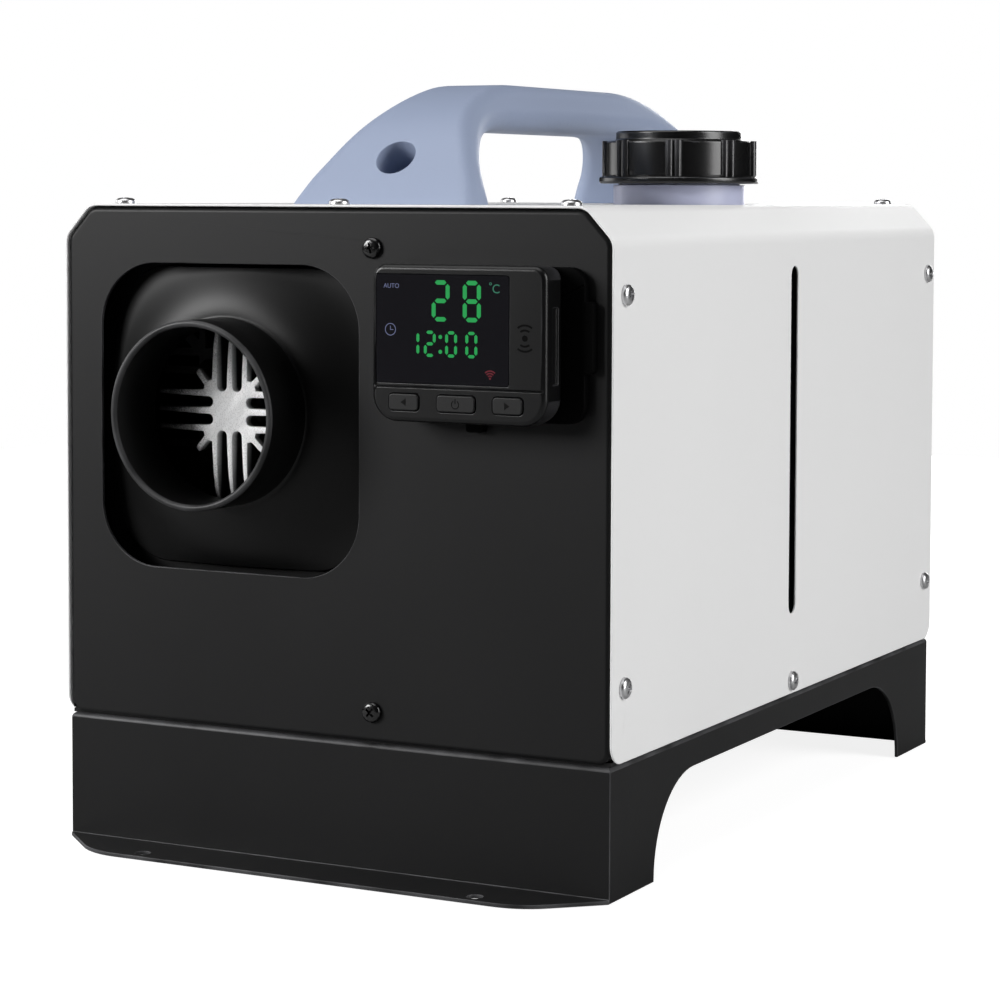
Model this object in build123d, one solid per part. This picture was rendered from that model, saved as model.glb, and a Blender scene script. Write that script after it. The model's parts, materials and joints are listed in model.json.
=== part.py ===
from build123d import *
import os
from math import cos, hypot, radians, sin

# An all-in-one diesel air heater: a sheet steel box on an open base stand, with the
# heater and its dosing pump on the left, the fuel tank on the right, a controller on
# the front and a carrying handle on top.
# Millimetres. X is across, Y runs from front to back and Z is up. The origin is on the
# ground, in the middle of the four foot holes.

# ---- the box -------------------------------------------------------------------------
BODY_W = 240.0
BODY_L = 350.0
HOUSING_H = 203.0
BASE_H = 50.0
CHAMFER_ACROSS = 11.5
CHAMFER_DOWN = 12.5
CHAMFER_BEND_R = 7.5
COVER_T = 0.9
COVER_CORNER_R = 8.0
COVER_LIFT = 0.5
PANEL_T = 1.5
PANEL_CORNER_R = 5.0
PANEL_FLANGE = 20.0
PANEL_BEND_R = 2.0
PANEL_SETBACK = 0.5
FLOOR_T = 1.5
FLOOR_FLANGE_H = 12.0
SEAM = 0.4
SLOT_LENGTH = 144.0
SLOT_WIDTH = 7.8
SLOT_TOP_DROP = 25.0

# ---- the base stand ------------------------------------------------------------------
BASE_T = 1.5
BASE_INSET = 1.0
BASE_BEND_R = 2.0
LEG_LENGTH = 39.0
ARCH_H = 37.5
ARCH_R = 36.5
FOOT_FLANGE = 23.0
FOOT_CORNER_ACROSS = 25.0
FOOT_CORNER_START = 0.5
FOOT_CORNER_R = 28.0
FOOT_HOLE_R = 3.0
FOOT_HOLE_X = 73.0
FOOT_HOLE_OUT = 17.5

# ---- screws --------------------------------------------------------------------------
SCREW_HEAD_R = 4.0
SCREW_HEAD_H = 2.4
SCREW_HEAD_EDGE_H = 1.4
SCREW_HEAD_EDGE_R = 1.7
SCREW_SHANK_R = 1.9
SCREW_LENGTH = 8.0
PANEL_SCREW_L = 6.0
BASE_SCREW_L = 6.0
CRADLE_SCREW_L = 7.0
SCREW_PLAY = 0.1
COVER_SCREW_IN = 10.0
COVER_SCREW_X = 98.0
SIDE_SCREW_DROP = 32.0
SIDE_SCREW_RISE = 28.0
FLOOR_SCREW_RISE = 6.0
PANEL_SCREW_X = 20.0
PANEL_SCREW_DROP = 16.0
PANEL_SCREW_RISE = 12.0
BASE_SCREW_X = 100.0
BASE_SCREW_IN = 40.0

# ---- the partition between the heater and the tank -----------------------------------
PARTITION_X = 26.0
PARTITION_T = 1.2
PARTITION_FLANGE = 9.5
PARTITION_TOP_GAP = 6.0

# ---- the hot air outlet --------------------------------------------------------------
HEATER_X = -44.5
HEATER_DROP = 79.8
RECESS_W = 117.0
RECESS_H = 119.0
RECESS_R = 25.0
RECESS_DROP = 82.4
SPIGOT_R = 36.25
SPIGOT_WALL = 2.6
SPIGOT_REACH = 26.0
HOOD_ROOT_Y = 2.0
HOOD_ROOT_R = 5.0
HOOD_CROWN_R = 190.0
HOOD_MARGIN = 2.0
HOOD_ROUND = 11.0
HOOD_THROAT_R = 47.0
HOOD_THROAT_DEPTH = 7.1
HOOD_MOUTH_IN = 1.0
HOOD_LIP = 0.65
HOOD_REAR_Y = 14.5
HOOD_FLANGE_T = 2.5
HOOD_FLANGE_MARGIN = 6.0

# ---- the heater ----------------------------------------------------------------------
SHELL_R = 57.0
SHELL_WALL = 2.5
SHELL_LUG = 4.0
SHELL_FOOT_ROOM = 1.0
FIN_REACH = 45.0
FIN_T = 2.8
FIN_PITCH = 7.2
FIN_FACE_R = 26.0
FIN_FACE_Y = 2.0
FIN_STEPS = [(8.0, 4.0), (15.0, 12.0), (19.0, 22.0)]
SCALLOP_START = 9.4
HUB_R = 11.5
STUB_REACH = 25.0
STUB_T = 4.4
CORE_R = 30.0
CORE_WALL = 4.0
CORE_SETBACK = 14.0
CORE_NOSE_R = 21.0
CORE_NOSE_L = 10.0
FOOT_DROP = 62.0
FOOT_T = 4.5
FOOT_W = 84.0
FOOT_L = 106.0
FOOT_BLOCK_W = 52.0
FOOT_BLOCK_L = 90.0
FOOT_Y = -65.0
STUD_X = 35.0
STUD_Y = 46.0
STUD_R = 2.9
STUD_TAIL = 6.0
STUD_NUT_T = 4.0
STUD_NUT_R = 5.5
CHAMBER_R = 23.0
CHAMBER_WALL = 1.2
CHAMBER_L = 125.0
CHAMBER_FLANGE_T = 2.0
CHAMBER_FLANGE_IN = 4.0
PORT_R = 2.0
PORT_ROWS = 2
PORT_COUNT = 6
PORT_START = 62.0
PORT_PITCH = 16.0
BLOWER_R = 44.0
BLOWER_L = 23.0
BLOWER_WALL = 5.0
IMPELLER_R = 32.0
IMPELLER_BLADES = 10
IMPELLER_VANE_T = 1.2
IMPELLER_GAP = 2.0
IMPELLER_ROOM = 4.0
IMPELLER_PLATE_T = 2.0
VANE_R = 16.0
VANE_OFFSET = 17.6
MOTOR_R = 26.0
MOTOR_L = 40.0
MOTOR_FLANGE_T = 4.0
MOTOR_NOSE = 3.0
SHAFT_R = 3.0
SHAFT_PLAY = 0.05
SHAFT_BOSS_R = 9.0
SHAFT_WINDOW_R = 12.0
SHAFT_TAIL = 2.0
FAN_R = 50.0
FAN_HUB_R = 22.0
FAN_HUB_L = 18.0
FAN_HUB_NOSE = 6.0
FAN_HUB_NOSE_L = 5.0
FAN_HUB_EDGE = 2.0
FAN_HUB_EDGE_L = 3.0
FAN_ROOM = 19.5
FAN_GAP = 18.0
FAN_BLADES = 7
FAN_BLADE_T = 1.8
FAN_BLADE_W = 20.7
FAN_BLADE_ROOT = 3.0
FAN_TIP_OUT = 2.0
FAN_PITCH = 38.0
SENSOR_W = 14.0
SENSOR_L = 16.0
SENSOR_H = 6.0
CONTROL_W = 50.0
CONTROL_L = 36.0
CONTROL_H = 13.0
CONTROL_CHAMFER = 2.0
PLUG_R = 5.2
PLUG_TIP_R = 2.4
PLUG_TIP_IN = 5.0
PLUG_SEAT = 3.0
PLUG_HEAD_GAP = 1.0
PLUG_PLAY = 0.2
PLUG_SETBACK = 14.0
RIB_T = 4.0
RIB_L = 8.0
RIB_GAP = 0.2
GUARD_ROOM = 30.5
GUARD_T = 3.0
GUARD_RINGS = 3
GUARD_SPOKES = 6
GUARD_BAR = 2.2
GUARD_RIM = 3.0

# ---- what hangs under the heater -----------------------------------------------------
GASKET_T = 1.5
GASKET_PLAY = 0.3
CRADLE_T = 2.0
CRADLE_W = 88.0
CRADLE_L = 120.0
CRADLE_FOOT = 14.0
CRADLE_PLAY = 0.5
CRADLE_SCREW_IN = 12.0
CRADLE_WINDOW_IN = 24.0
CRADLE_WINDOW_R = 8.0
PIPE_R = 12.0
PIPE_WALL = 1.5
PIPE_END_Z = 20.0
PIPE_BEAD = 1.2
PIPE_BEAD_L = 2.0
PIPE_BEAD_DROP = 5.5
EXHAUST_Y = -90.0
INTAKE_Y = -40.0
SEAL_WALL = 3.4
SEAL_PLAY = 0.1
SEAL_BRIM = 3.5
SEAL_BRIM_T = 2.5

# ---- the fuel tank and its cap -------------------------------------------------------
TANK_GAP = 3.0
TANK_L = 318.0
TANK_ROUND = 14.0
TANK_WALL = 3.0
TANK_PAD_T = 5.0
TANK_PAD_L = 30.0
TANK_TOP_GAP = 5.0
NECK_X = 67.5
NECK_Y = 0.0
NECK_R = 27.5
NECK_THREAD_R = 25.3
NECK_BORE_R = 22.5
NECK_SHOULDER_Z = 8.2
NECK_TOP_Z = 24.0
NECK_CLEARANCE = 1.2
CAP_BOTTOM_Z = 8.7
CAP_BRIM_R = 33.5
CAP_BRIM_T = 2.6
CAP_BRIM_SLOPE = 1.0
CAP_BODY_R = 30.6
CAP_SHOULDER_Z = 26.5
CAP_TOP_R = 26.5
CAP_TOP_Z = 30.5
CAP_ROUND = 1.0
CAP_THREAD_PLAY = 0.4
CAP_GRIPS = 8
CAP_GRIP_R = 1.7
CAP_GRIP_SPREAD = 3.3
CAP_GRIP_START = 19.4
CAP_GASKET_T = 1.5
CAP_GASKET_PLAY = 0.3
CAP_GASKET_IN = 2.0

# ---- the fuel line -------------------------------------------------------------------
LINE_X = 13.0
LINE_DROP = 22.2
LINE_R = 2.5
LINE_BORE_R = 1.2
OUTLET_Y = -75.0
OUTLET_RUN = 10.0
FILTER_R = 9.0
FILTER_L = 33.0
FILTER_NOZZLE_L = 5.0
FILTER_CONE_L = 3.0
FILTER_START_Y = -45.0
PUMP_R = 10.5
PUMP_L = 80.0
PUMP_START_Y = 12.0
PUMP_NIPPLE = 8.0
PUMP_FRONT_R = 7.35
PUMP_FRONT_L = 12.0
PUMP_REAR_R = 6.3
PUMP_REAR_L = 14.0
CLAMP_WALL = 2.2
CLAMP_L = 20.0
CLAMP_PLAY = 0.3
CLAMP_FOOT_H = 12.0
BURNER_NIPPLE_IN = 13.0
BURNER_NIPPLE_DROP = 66.0
BURNER_NIPPLE_ROOT = 2.0
LINE_BACK_RUN = 24.0
LINE_BEND_R = 14.0
GROMMET_WALL = 1.8
GROMMET_L = 5.0
GROMMET_BRIM = 2.0

# ---- the carrying handle -------------------------------------------------------------
# its outer and inner curves are (back, up) from where each leaves the cover, and the
# flank is (half width, up)
HANDLE_TOE_Y = 39.0
HANDLE_HEEL_Y = 60.0
HANDLE_OUTSIDE = [(0, 0), (10.6, 14), (27, 31), (61, 46), (90, 49)]
HANDLE_INSIDE = [(0, 0), (12, 16), (27, 25), (55, 30)]
HANDLE_OUTSIDE_LEAN = (0.6, 0.8)
HANDLE_INSIDE_LEAN = (0.35, 0.94)
HANDLE_FLANK_LEAN = (0.4, 1.0)
HANDLE_FLANK = [(41, 0), (34, 14), (27, 26), (21, 36), (18, 44), (17.5, 50)]
HANDLE_ROUND = 7.0
POCKET_R = 8.3
POCKET_DEPTH = 13.0
POCKET_Y = 53.3
POCKET_Z = 18.7
POCKET_LEAN = 45.0
HANDLE_BOLT_X = 24.0
HANDLE_BOLT_Y = 55.0
HANDLE_BOLT_R = 2.4
HANDLE_BOLT_L = 12.0
HANDLE_BOLT_END_GAP = 1.0
HANDLE_BOLT_HEAD_R = 4.8
HANDLE_BOLT_HEAD_H = 2.5

# ---- the controller ------------------------------------------------------------------
CONTROLLER_W = 71.6
CONTROLLER_H = 57.6
CONTROLLER_X = 65.2
CONTROLLER_DROP = 50.3
CONTROLLER_OUT = 17.0
CONTROLLER_ROUND = 2.0
CONTROLLER_TOP_R = 5.0
CONTROLLER_FOOT_R = 10.0
CASE_WALL = 1.6
CASE_BACK_T = 2.0
CASE_BACK_INSET = 0.4
HOLDER_T = 4.0
HOLDER_SIDE = 9.0
HOLDER_EAR = 3.2
HOLDER_EAR_H = 26.0
HOLDER_EAR_RISE = 3.0
HOLDER_EAR_R = 1.5
HOLDER_LEFT_IN = 1.5
HOLDER_TOP_IN = 0.5
HOLDER_CORNER_R = 7.0
HOLDER_CLIP_W = 7.0
HOLDER_CLIP_H = 9.0
HOLDER_CLIP_R = 1.0
GLASS_W = 54.6
GLASS_H = 39.6
GLASS_LEFT = 2.1
GLASS_TOP = 3.6
GLASS_T = 1.0
GLASS_CORNER_R = 1.0
GROOVE_DEPTH = 0.4
GROOVE_W = 0.5
GROOVE_RISE = 12.9
BUTTON_H = 6.0
BUTTON_RISE = 7.3
BUTTON_PLAY = 0.25
BUTTON_PROUD = 0.7
BUTTON_L = 5.0
BUTTON_LIP = 1.0
BUTTON_TRAVEL = 0.6
BUTTON_CORNER_R = 1.5
BUTTON_EDGE_R = 0.42
BUTTONS = {"button_left": (13.7, 12.2), "button_power": (35.3, 15.6), "button_right": (56.4, 12.0)}
BOARD_T = 1.6
BOARD_GAP = 0.4
BOARD_POST_R = 2.0
BOARD_POST_X = 21.5
CASE_SLOT_H = 27.5
CASE_SLOT_W = 4.2
CASE_SLOT_DEPTH = 0.8
CASE_SLOT_Y = 7.8

# ---- the back ------------------------------------------------------------------------
GRILLE_R = 52.0
GRILLE_RIM = 5.0
GRILLE_T = 3.0
GRILLE_RINGS = 4
GRILLE_SPOKES = 8
GRILLE_BAR = 2.4
GRILLE_PLAY = 0.2
GRILLE_COLLAR_IN = 3.0
GLAND_X = 70.0
GLAND_Z = 88.0
GLAND_R = 7.0
GLAND_BORE_R = 4.0
GLAND_NUT_R = 10.5
GLAND_NUT_T = 5.0
GLAND_REACH = 8.0
CABLE_HOLE_PLAY = 1.0

# how far a cut runs past the face that it opens
CUT = 1.0

# ---- worked out from the sizes above -------------------------------------------------
TOP_Z = BASE_H + HOUSING_H
FRONT_Y = -BODY_L / 2
REAR_Y = BODY_L / 2
FLOOR_TOP_Z = BASE_H + FLOOR_T
SHEET_LOW_Z = BASE_H + COVER_LIFT
PANEL_Y = FRONT_Y + PANEL_SETBACK
PANEL_BACK_Y = PANEL_Y + PANEL_T
PANEL_INSET = COVER_T + SEAM
PANEL_HALF_W = BODY_W / 2 - PANEL_INSET
HEATER_Z = TOP_Z - HEATER_DROP
RECESS_Z = TOP_Z - RECESS_DROP
SHELL_START_Y = FRONT_Y + HOOD_REAR_Y
SHELL_END_Y = -PANEL_BACK_Y - GUARD_ROOM - GUARD_T
SHELL_BORE_R = SHELL_R - SHELL_WALL
FIN_START_Y = FRONT_Y + FIN_FACE_Y
CORE_START_Y = FIN_START_Y + CORE_SETBACK
FAN_START_Y = SHELL_END_Y - FAN_ROOM - FAN_HUB_L
MOTOR_END_Y = FAN_START_Y - FAN_GAP
MOTOR_START_Y = MOTOR_END_Y - MOTOR_L
BLOWER_END_Y = MOTOR_START_Y - MOTOR_FLANGE_T
CHAMBER_END_Y = BLOWER_END_Y - BLOWER_L
EXCHANGER_END_Y = CHAMBER_END_Y - CHAMBER_FLANGE_T
SHAFT_START_Y = CHAMBER_END_Y + BLOWER_WALL + IMPELLER_GAP
SHAFT_END_Y = FAN_START_Y + FAN_HUB_L + SHAFT_TAIL
HEATER_FOOT_Z = HEATER_Z - FOOT_DROP
CRADLE_TOP_Z = HEATER_FOOT_Z - GASKET_T
PIPE_HOLE_R = PIPE_R + SEAL_PLAY + SEAL_WALL + SEAL_PLAY
TANK_LEFT_X = PARTITION_X + PARTITION_T + TANK_GAP
TANK_RIGHT_X = BODY_W / 2 - COVER_T - TANK_GAP
TANK_W = TANK_RIGHT_X - TANK_LEFT_X
TANK_X = (TANK_RIGHT_X + TANK_LEFT_X) / 2
TANK_LOW_Z = FLOOR_TOP_Z + TANK_PAD_T
TANK_HIGH_Z = TOP_Z - COVER_T - TANK_TOP_GAP
NECK_RIM_Z = TOP_Z + NECK_TOP_Z
CONTROLLER_Z = TOP_Z - CONTROLLER_DROP
HOLDER_Y = PANEL_Y - HOLDER_T
CASE_BACK_Y = HOLDER_Y - CASE_BACK_T
CONTROLLER_Y = PANEL_Y - CONTROLLER_OUT
BURNER_NIPPLE_Y = CHAMBER_END_Y + BURNER_NIPPLE_IN
BURNER_NIPPLE_Z = HEATER_Z - BURNER_NIPPLE_DROP
LINE_Z = BURNER_NIPPLE_Z - LINE_DROP
LINE_BACK_Y = PUMP_START_Y + PUMP_L + PUMP_NIPPLE + LINE_BACK_RUN
HEATER_AXIS = Axis((HEATER_X, 0, HEATER_Z), (0, 1, 0))


# ---- helpers -------------------------------------------------------------------------
def slab(sketch, y_front, y_back):
    """A shape drawn as seen from the front (x, z), from y_front back to y_back."""
    plane = Plane(origin=(0, y_back, 0), x_dir=(1, 0, 0), z_dir=(0, -1, 0))
    return extrude(plane * sketch, amount=y_back - y_front)


def side_slab(sketch, x_left, x_right):
    """A shape drawn as seen from the right (y, z), from x_left to x_right."""
    plane = Plane(origin=(x_left, 0, 0), x_dir=(0, 1, 0), z_dir=(1, 0, 0))
    return extrude(plane * sketch, amount=x_right - x_left)


def floor_slab(sketch, z_low, z_high):
    """A shape drawn as seen from above (x, y), from z_low up to z_high."""
    return extrude(Plane((0, 0, z_low)) * sketch, amount=z_high - z_low)


def block(x0, x1, y0, y1, z0, z1):
    return Pos((x0 + x1) / 2, (y0 + y1) / 2, (z0 + z1) / 2) * Box(x1 - x0, y1 - y0, z1 - z0)


def rod(radius, start, axis, length):
    """A round bar from the point start, length long, along axis."""
    return extrude(Plane(origin=start, z_dir=axis) * Circle(radius), amount=length)


def tube(radius, bore, start, axis, length):
    ring = Circle(radius) - Circle(bore)
    return extrude(Plane(origin=start, z_dir=axis) * ring, amount=length)


def turned(points, axis=HEATER_AXIS):
    """A body of revolution from (radius, y) points, about an axis along Y."""
    origin = axis.position
    outline = Plane((origin.X, 0, origin.Z)) * make_face(Polyline(*points, close=True))
    return revolve(outline, axis, 360)


def turned_up(points, x, y):
    """A body of revolution from (radius, z) points, about a vertical axis at x, y."""
    plane = Plane(origin=(x, y, 0), x_dir=(1, 0, 0), z_dir=(0, -1, 0))
    outline = plane * make_face(Polyline(*points, close=True))
    return revolve(outline, Axis((x, y, 0), (0, 0, 1)), 360)


def screw(place, facing, length=SCREW_LENGTH, head_r=SCREW_HEAD_R):
    """A pan head screw whose head sits on the surface at place and faces outward."""
    seat = Plane(origin=place, z_dir=facing)
    head = seat * extrude(Circle(head_r), amount=SCREW_HEAD_H)
    top = head.faces().sort_by(Axis(place, facing))[-1]
    head = chamfer(top.edges(), SCREW_HEAD_EDGE_H, SCREW_HEAD_EDGE_R)
    shank = seat * extrude(Circle(SCREW_SHANK_R), amount=-length)
    return head + shank


def screw_hole(place, facing, depth=SCREW_LENGTH):
    seat = Plane(origin=place, z_dir=facing)
    return seat * extrude(Circle(SCREW_SHANK_R + SCREW_PLAY), amount=depth, both=True)


def housing_outline(inset, low_z, corner_r=0.0):
    """The box's cross-section, chamfered at the top, drawn inset from the outer skin."""
    half = BODY_W / 2 - inset
    top = TOP_Z - inset
    slant = hypot(CHAMFER_ACROSS, CHAMFER_DOWN)
    bend_x = BODY_W / 2 - CHAMFER_ACROSS - inset * (slant - CHAMFER_ACROSS) / CHAMFER_DOWN
    bend_z = TOP_Z - CHAMFER_DOWN - inset * (slant - CHAMFER_DOWN) / CHAMFER_ACROSS
    right = [(half, low_z), (half, bend_z), (bend_x, top)]
    left = [(-x, z) for x, z in reversed(right)]
    face = make_face(Polyline(*right, *left, close=True))
    bends = face.vertices().filter_by(lambda v: v.Y > low_z + 1)
    face = fillet(bends, CHAMFER_BEND_R - inset)
    if corner_r:
        corners = face.vertices().filter_by(lambda v: v.Y < low_z + 1)
        face = fillet(corners, corner_r)
    return face


# ---- where the screws go -------------------------------------------------------------
def cover_screw_places():
    places = []
    row = REAR_Y - COVER_SCREW_IN
    for y in (-row, row):
        for x in (-COVER_SCREW_X, 0, COVER_SCREW_X):
            places.append(((x, y, TOP_Z), (0, 0, 1)))
    for side in (-1, 1):
        skin = side * BODY_W / 2
        for y in (-row, row):
            for z in (TOP_Z - SIDE_SCREW_DROP, BASE_H + SIDE_SCREW_RISE):
                places.append(((skin, y, z), (side, 0, 0)))
        places.append(((skin, 0, BASE_H + FLOOR_SCREW_RISE), (side, 0, 0)))
    return places


def panel_screw_places(facing):
    """The two screws that hold the partition, on the front (-1) or the rear (1)."""
    skin = facing * -PANEL_Y
    heights = (TOP_Z - PANEL_SCREW_DROP, BASE_H + PANEL_SCREW_RISE)
    return [((PANEL_SCREW_X, skin, z), (0, facing, 0)) for z in heights]


def base_screw_places():
    row = REAR_Y - BASE_SCREW_IN
    return [((x, y, FLOOR_TOP_Z), (0, 0, 1)) for x in (-BASE_SCREW_X, BASE_SCREW_X) for y in (-row, row)]


# ---- the box -------------------------------------------------------------------------
def make_top_cover():
    cover = slab(housing_outline(0, SHEET_LOW_Z), FRONT_Y, REAR_Y)
    cover -= slab(housing_outline(COVER_T, SHEET_LOW_Z - CUT), FRONT_Y - CUT, REAR_Y + CUT)
    low_corners = cover.edges().filter_by(Axis.X).filter_by(
        lambda e: e.center().Z < SHEET_LOW_Z + 0.01 and abs(e.center().Y) > REAR_Y - 0.01)
    cover = fillet(low_corners, COVER_CORNER_R)
    slot_z = TOP_Z - SLOT_TOP_DROP - SLOT_LENGTH / 2
    slot = Pos(0, slot_z) * SlotOverall(SLOT_LENGTH, SLOT_WIDTH, rotation=90)
    cover -= side_slab(slot, BODY_W / 2 - 2 * COVER_T, BODY_W / 2 + COVER_T)
    neck_hole = Pos(NECK_X, NECK_Y) * Circle(NECK_R + NECK_CLEARANCE)
    cover -= floor_slab(neck_hole, TOP_Z - 2 * COVER_T, TOP_Z + COVER_T)
    for place, facing in cover_screw_places():
        cover -= screw_hole(place, facing)
    for place in handle_bolt_places():
        cover -= rod(HANDLE_BOLT_R + SCREW_PLAY, place, (0, 0, 1), 3 * COVER_T)
    return cover


def make_end_panel():
    """The sheet that closes an end, with a flange bent back inside the cover."""
    outer = housing_outline(PANEL_INSET, SHEET_LOW_Z, PANEL_CORNER_R)
    inner = housing_outline(PANEL_INSET + PANEL_T, SHEET_LOW_Z - CUT)
    panel = slab(outer, PANEL_Y, PANEL_Y + PANEL_FLANGE)
    bend = panel.edges().filter_by(lambda e: e.center().Y < PANEL_Y + 0.01)
    panel = fillet(bend, PANEL_BEND_R)
    panel -= slab(inner, PANEL_BACK_Y, PANEL_Y + PANEL_FLANGE + CUT)
    panel -= block(-BODY_W, BODY_W, PANEL_BACK_Y, REAR_Y, SHEET_LOW_Z - CUT, FLOOR_TOP_Z + SEAM)
    for place, facing in cover_screw_places():
        panel -= screw_hole(place, facing)
    for place, facing in panel_screw_places(-1):
        panel -= screw_hole(place, facing)
    return panel


def make_front_panel():
    panel = make_end_panel()
    opening = Pos(HEATER_X, RECESS_Z) * RectangleRounded(RECESS_W, RECESS_H, RECESS_R)
    panel -= slab(opening, PANEL_Y - CUT, PANEL_BACK_Y + CUT)
    panel -= slab(cable_hole(CABLE_HOLE_PLAY), PANEL_Y - CUT, PANEL_BACK_Y + CUT)
    return panel


def make_rear_panel():
    panel = mirror(make_end_panel(), Plane.XZ)
    intake = Pos(HEATER_X, HEATER_Z) * Circle(GRILLE_R)
    gland = Pos(GLAND_X, GLAND_Z) * Circle(GLAND_R + SCREW_PLAY)
    panel -= slab(intake + gland, -PANEL_BACK_Y - CUT, REAR_Y + CUT)
    return panel


def pipe_places():
    return [(HEATER_X, EXHAUST_Y), (HEATER_X, INTAKE_Y)]


def make_floor_plate():
    half_l = -PANEL_BACK_Y - SEAM
    plate = block(-PANEL_HALF_W, PANEL_HALF_W, -half_l, half_l, BASE_H, FLOOR_TOP_Z)
    corner_y = -(PANEL_Y + PANEL_FLANGE) - SEAM
    flange_top = FLOOR_TOP_Z + FLOOR_FLANGE_H
    for side in (-1, 1):
        outer_x = side * PANEL_HALF_W
        inner_x = side * (PANEL_HALF_W - FLOOR_T)
        x0, x1 = sorted((outer_x, inner_x))
        plate += block(x0, x1, -corner_y, corner_y, BASE_H, flange_top)
    for place, facing in cover_screw_places():
        if facing[2] == 0:
            plate -= screw_hole(place, facing)
    for place, facing in base_screw_places():
        plate -= screw_hole(place, facing)
    for x, y in pipe_places():
        plate -= rod(PIPE_HOLE_R, (x, y, BASE_H - CUT), (0, 0, 1), FLOOR_T + 2 * CUT)
    for place in cradle_screw_places():
        plate -= screw_hole(place, (0, 0, 1))
    return plate


def foot_flange(end):
    """The flange turned out at the stand's foot, front (-1) or rear (1), seen from above."""
    root_y = BODY_L / 2 - BASE_INSET
    half_w = BODY_W / 2 - BASE_INSET
    right = [(half_w, root_y - BASE_T), (half_w, root_y + FOOT_CORNER_START),
             (half_w - FOOT_CORNER_ACROSS, root_y + FOOT_FLANGE)]
    left = [(-x, y) for x, y in reversed(right)]
    flange = make_face(Polyline(*right, *left, close=True))
    corners = flange.vertices().filter_by(lambda v: v.Y > root_y + FOOT_FLANGE - 1)
    flange = fillet(corners, FOOT_CORNER_R)
    for x in (-FOOT_HOLE_X, FOOT_HOLE_X):
        flange -= Pos(x, root_y + FOOT_HOLE_OUT) * Circle(FOOT_HOLE_R)
    return Rot(0, 0, 0 if end > 0 else 180) * flange


def make_base_stand():
    half_w = BODY_W / 2 - BASE_INSET
    half_l = BODY_L / 2 - BASE_INSET
    stand = block(-half_w, half_w, -half_l, half_l, 0, BASE_H)
    top_edges = stand.edges().filter_by(lambda e: e.center().Z > BASE_H - 0.01)
    stand = fillet(top_edges, BASE_BEND_R)
    inner_w = half_w - BASE_T
    inner_l = half_l - BASE_T
    stand -= block(-inner_w, inner_w, -inner_l, inner_l, -CUT, BASE_H - BASE_T)
    arch = RectangleRounded(2 * (half_l - LEG_LENGTH), 2 * ARCH_H, ARCH_R)
    stand -= side_slab(arch, -BODY_W, BODY_W)
    for end in (-1, 1):
        stand += floor_slab(foot_flange(end), 0, BASE_T)
    for place, facing in base_screw_places():
        stand -= screw_hole(place, facing)
    for place in cradle_screw_places():
        stand -= screw_hole(place, (0, 0, 1))
    for x, y in pipe_places():
        stand -= rod(PIPE_HOLE_R, (x, y, BASE_H - BASE_T - CUT), (0, 0, 1), BASE_T + 2 * CUT)
    return stand


def make_partition():
    low = FLOOR_TOP_Z
    high = TOP_Z - PANEL_INSET - PANEL_T - PARTITION_TOP_GAP
    end_y = -PANEL_BACK_Y
    wall = block(PARTITION_X, PARTITION_X + PARTITION_T, -end_y, end_y, low, high)
    for end in (-1, 1):
        y0, y1 = sorted((end * end_y, end * (end_y - PARTITION_T)))
        wall += block(PARTITION_X - PARTITION_FLANGE, PARTITION_X, y0, y1, low, high)
    for facing in (-1, 1):
        for place, direction in panel_screw_places(facing):
            wall -= screw_hole(place, direction)
    line_hole = (PARTITION_X - CUT, OUTLET_Y, LINE_Z)
    wall -= rod(LINE_R + GROMMET_WALL, line_hole, (1, 0, 0), PARTITION_T + 2 * CUT)
    return wall


# ---- the outlet and the heater -------------------------------------------------------
def recess_outline(margin):
    """The rounded square of the opening in the front panel, drawn larger by margin."""
    return Pos(HEATER_X, RECESS_Z) * RectangleRounded(
        RECESS_W + 2 * margin, RECESS_H + 2 * margin, RECESS_R + margin)


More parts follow.
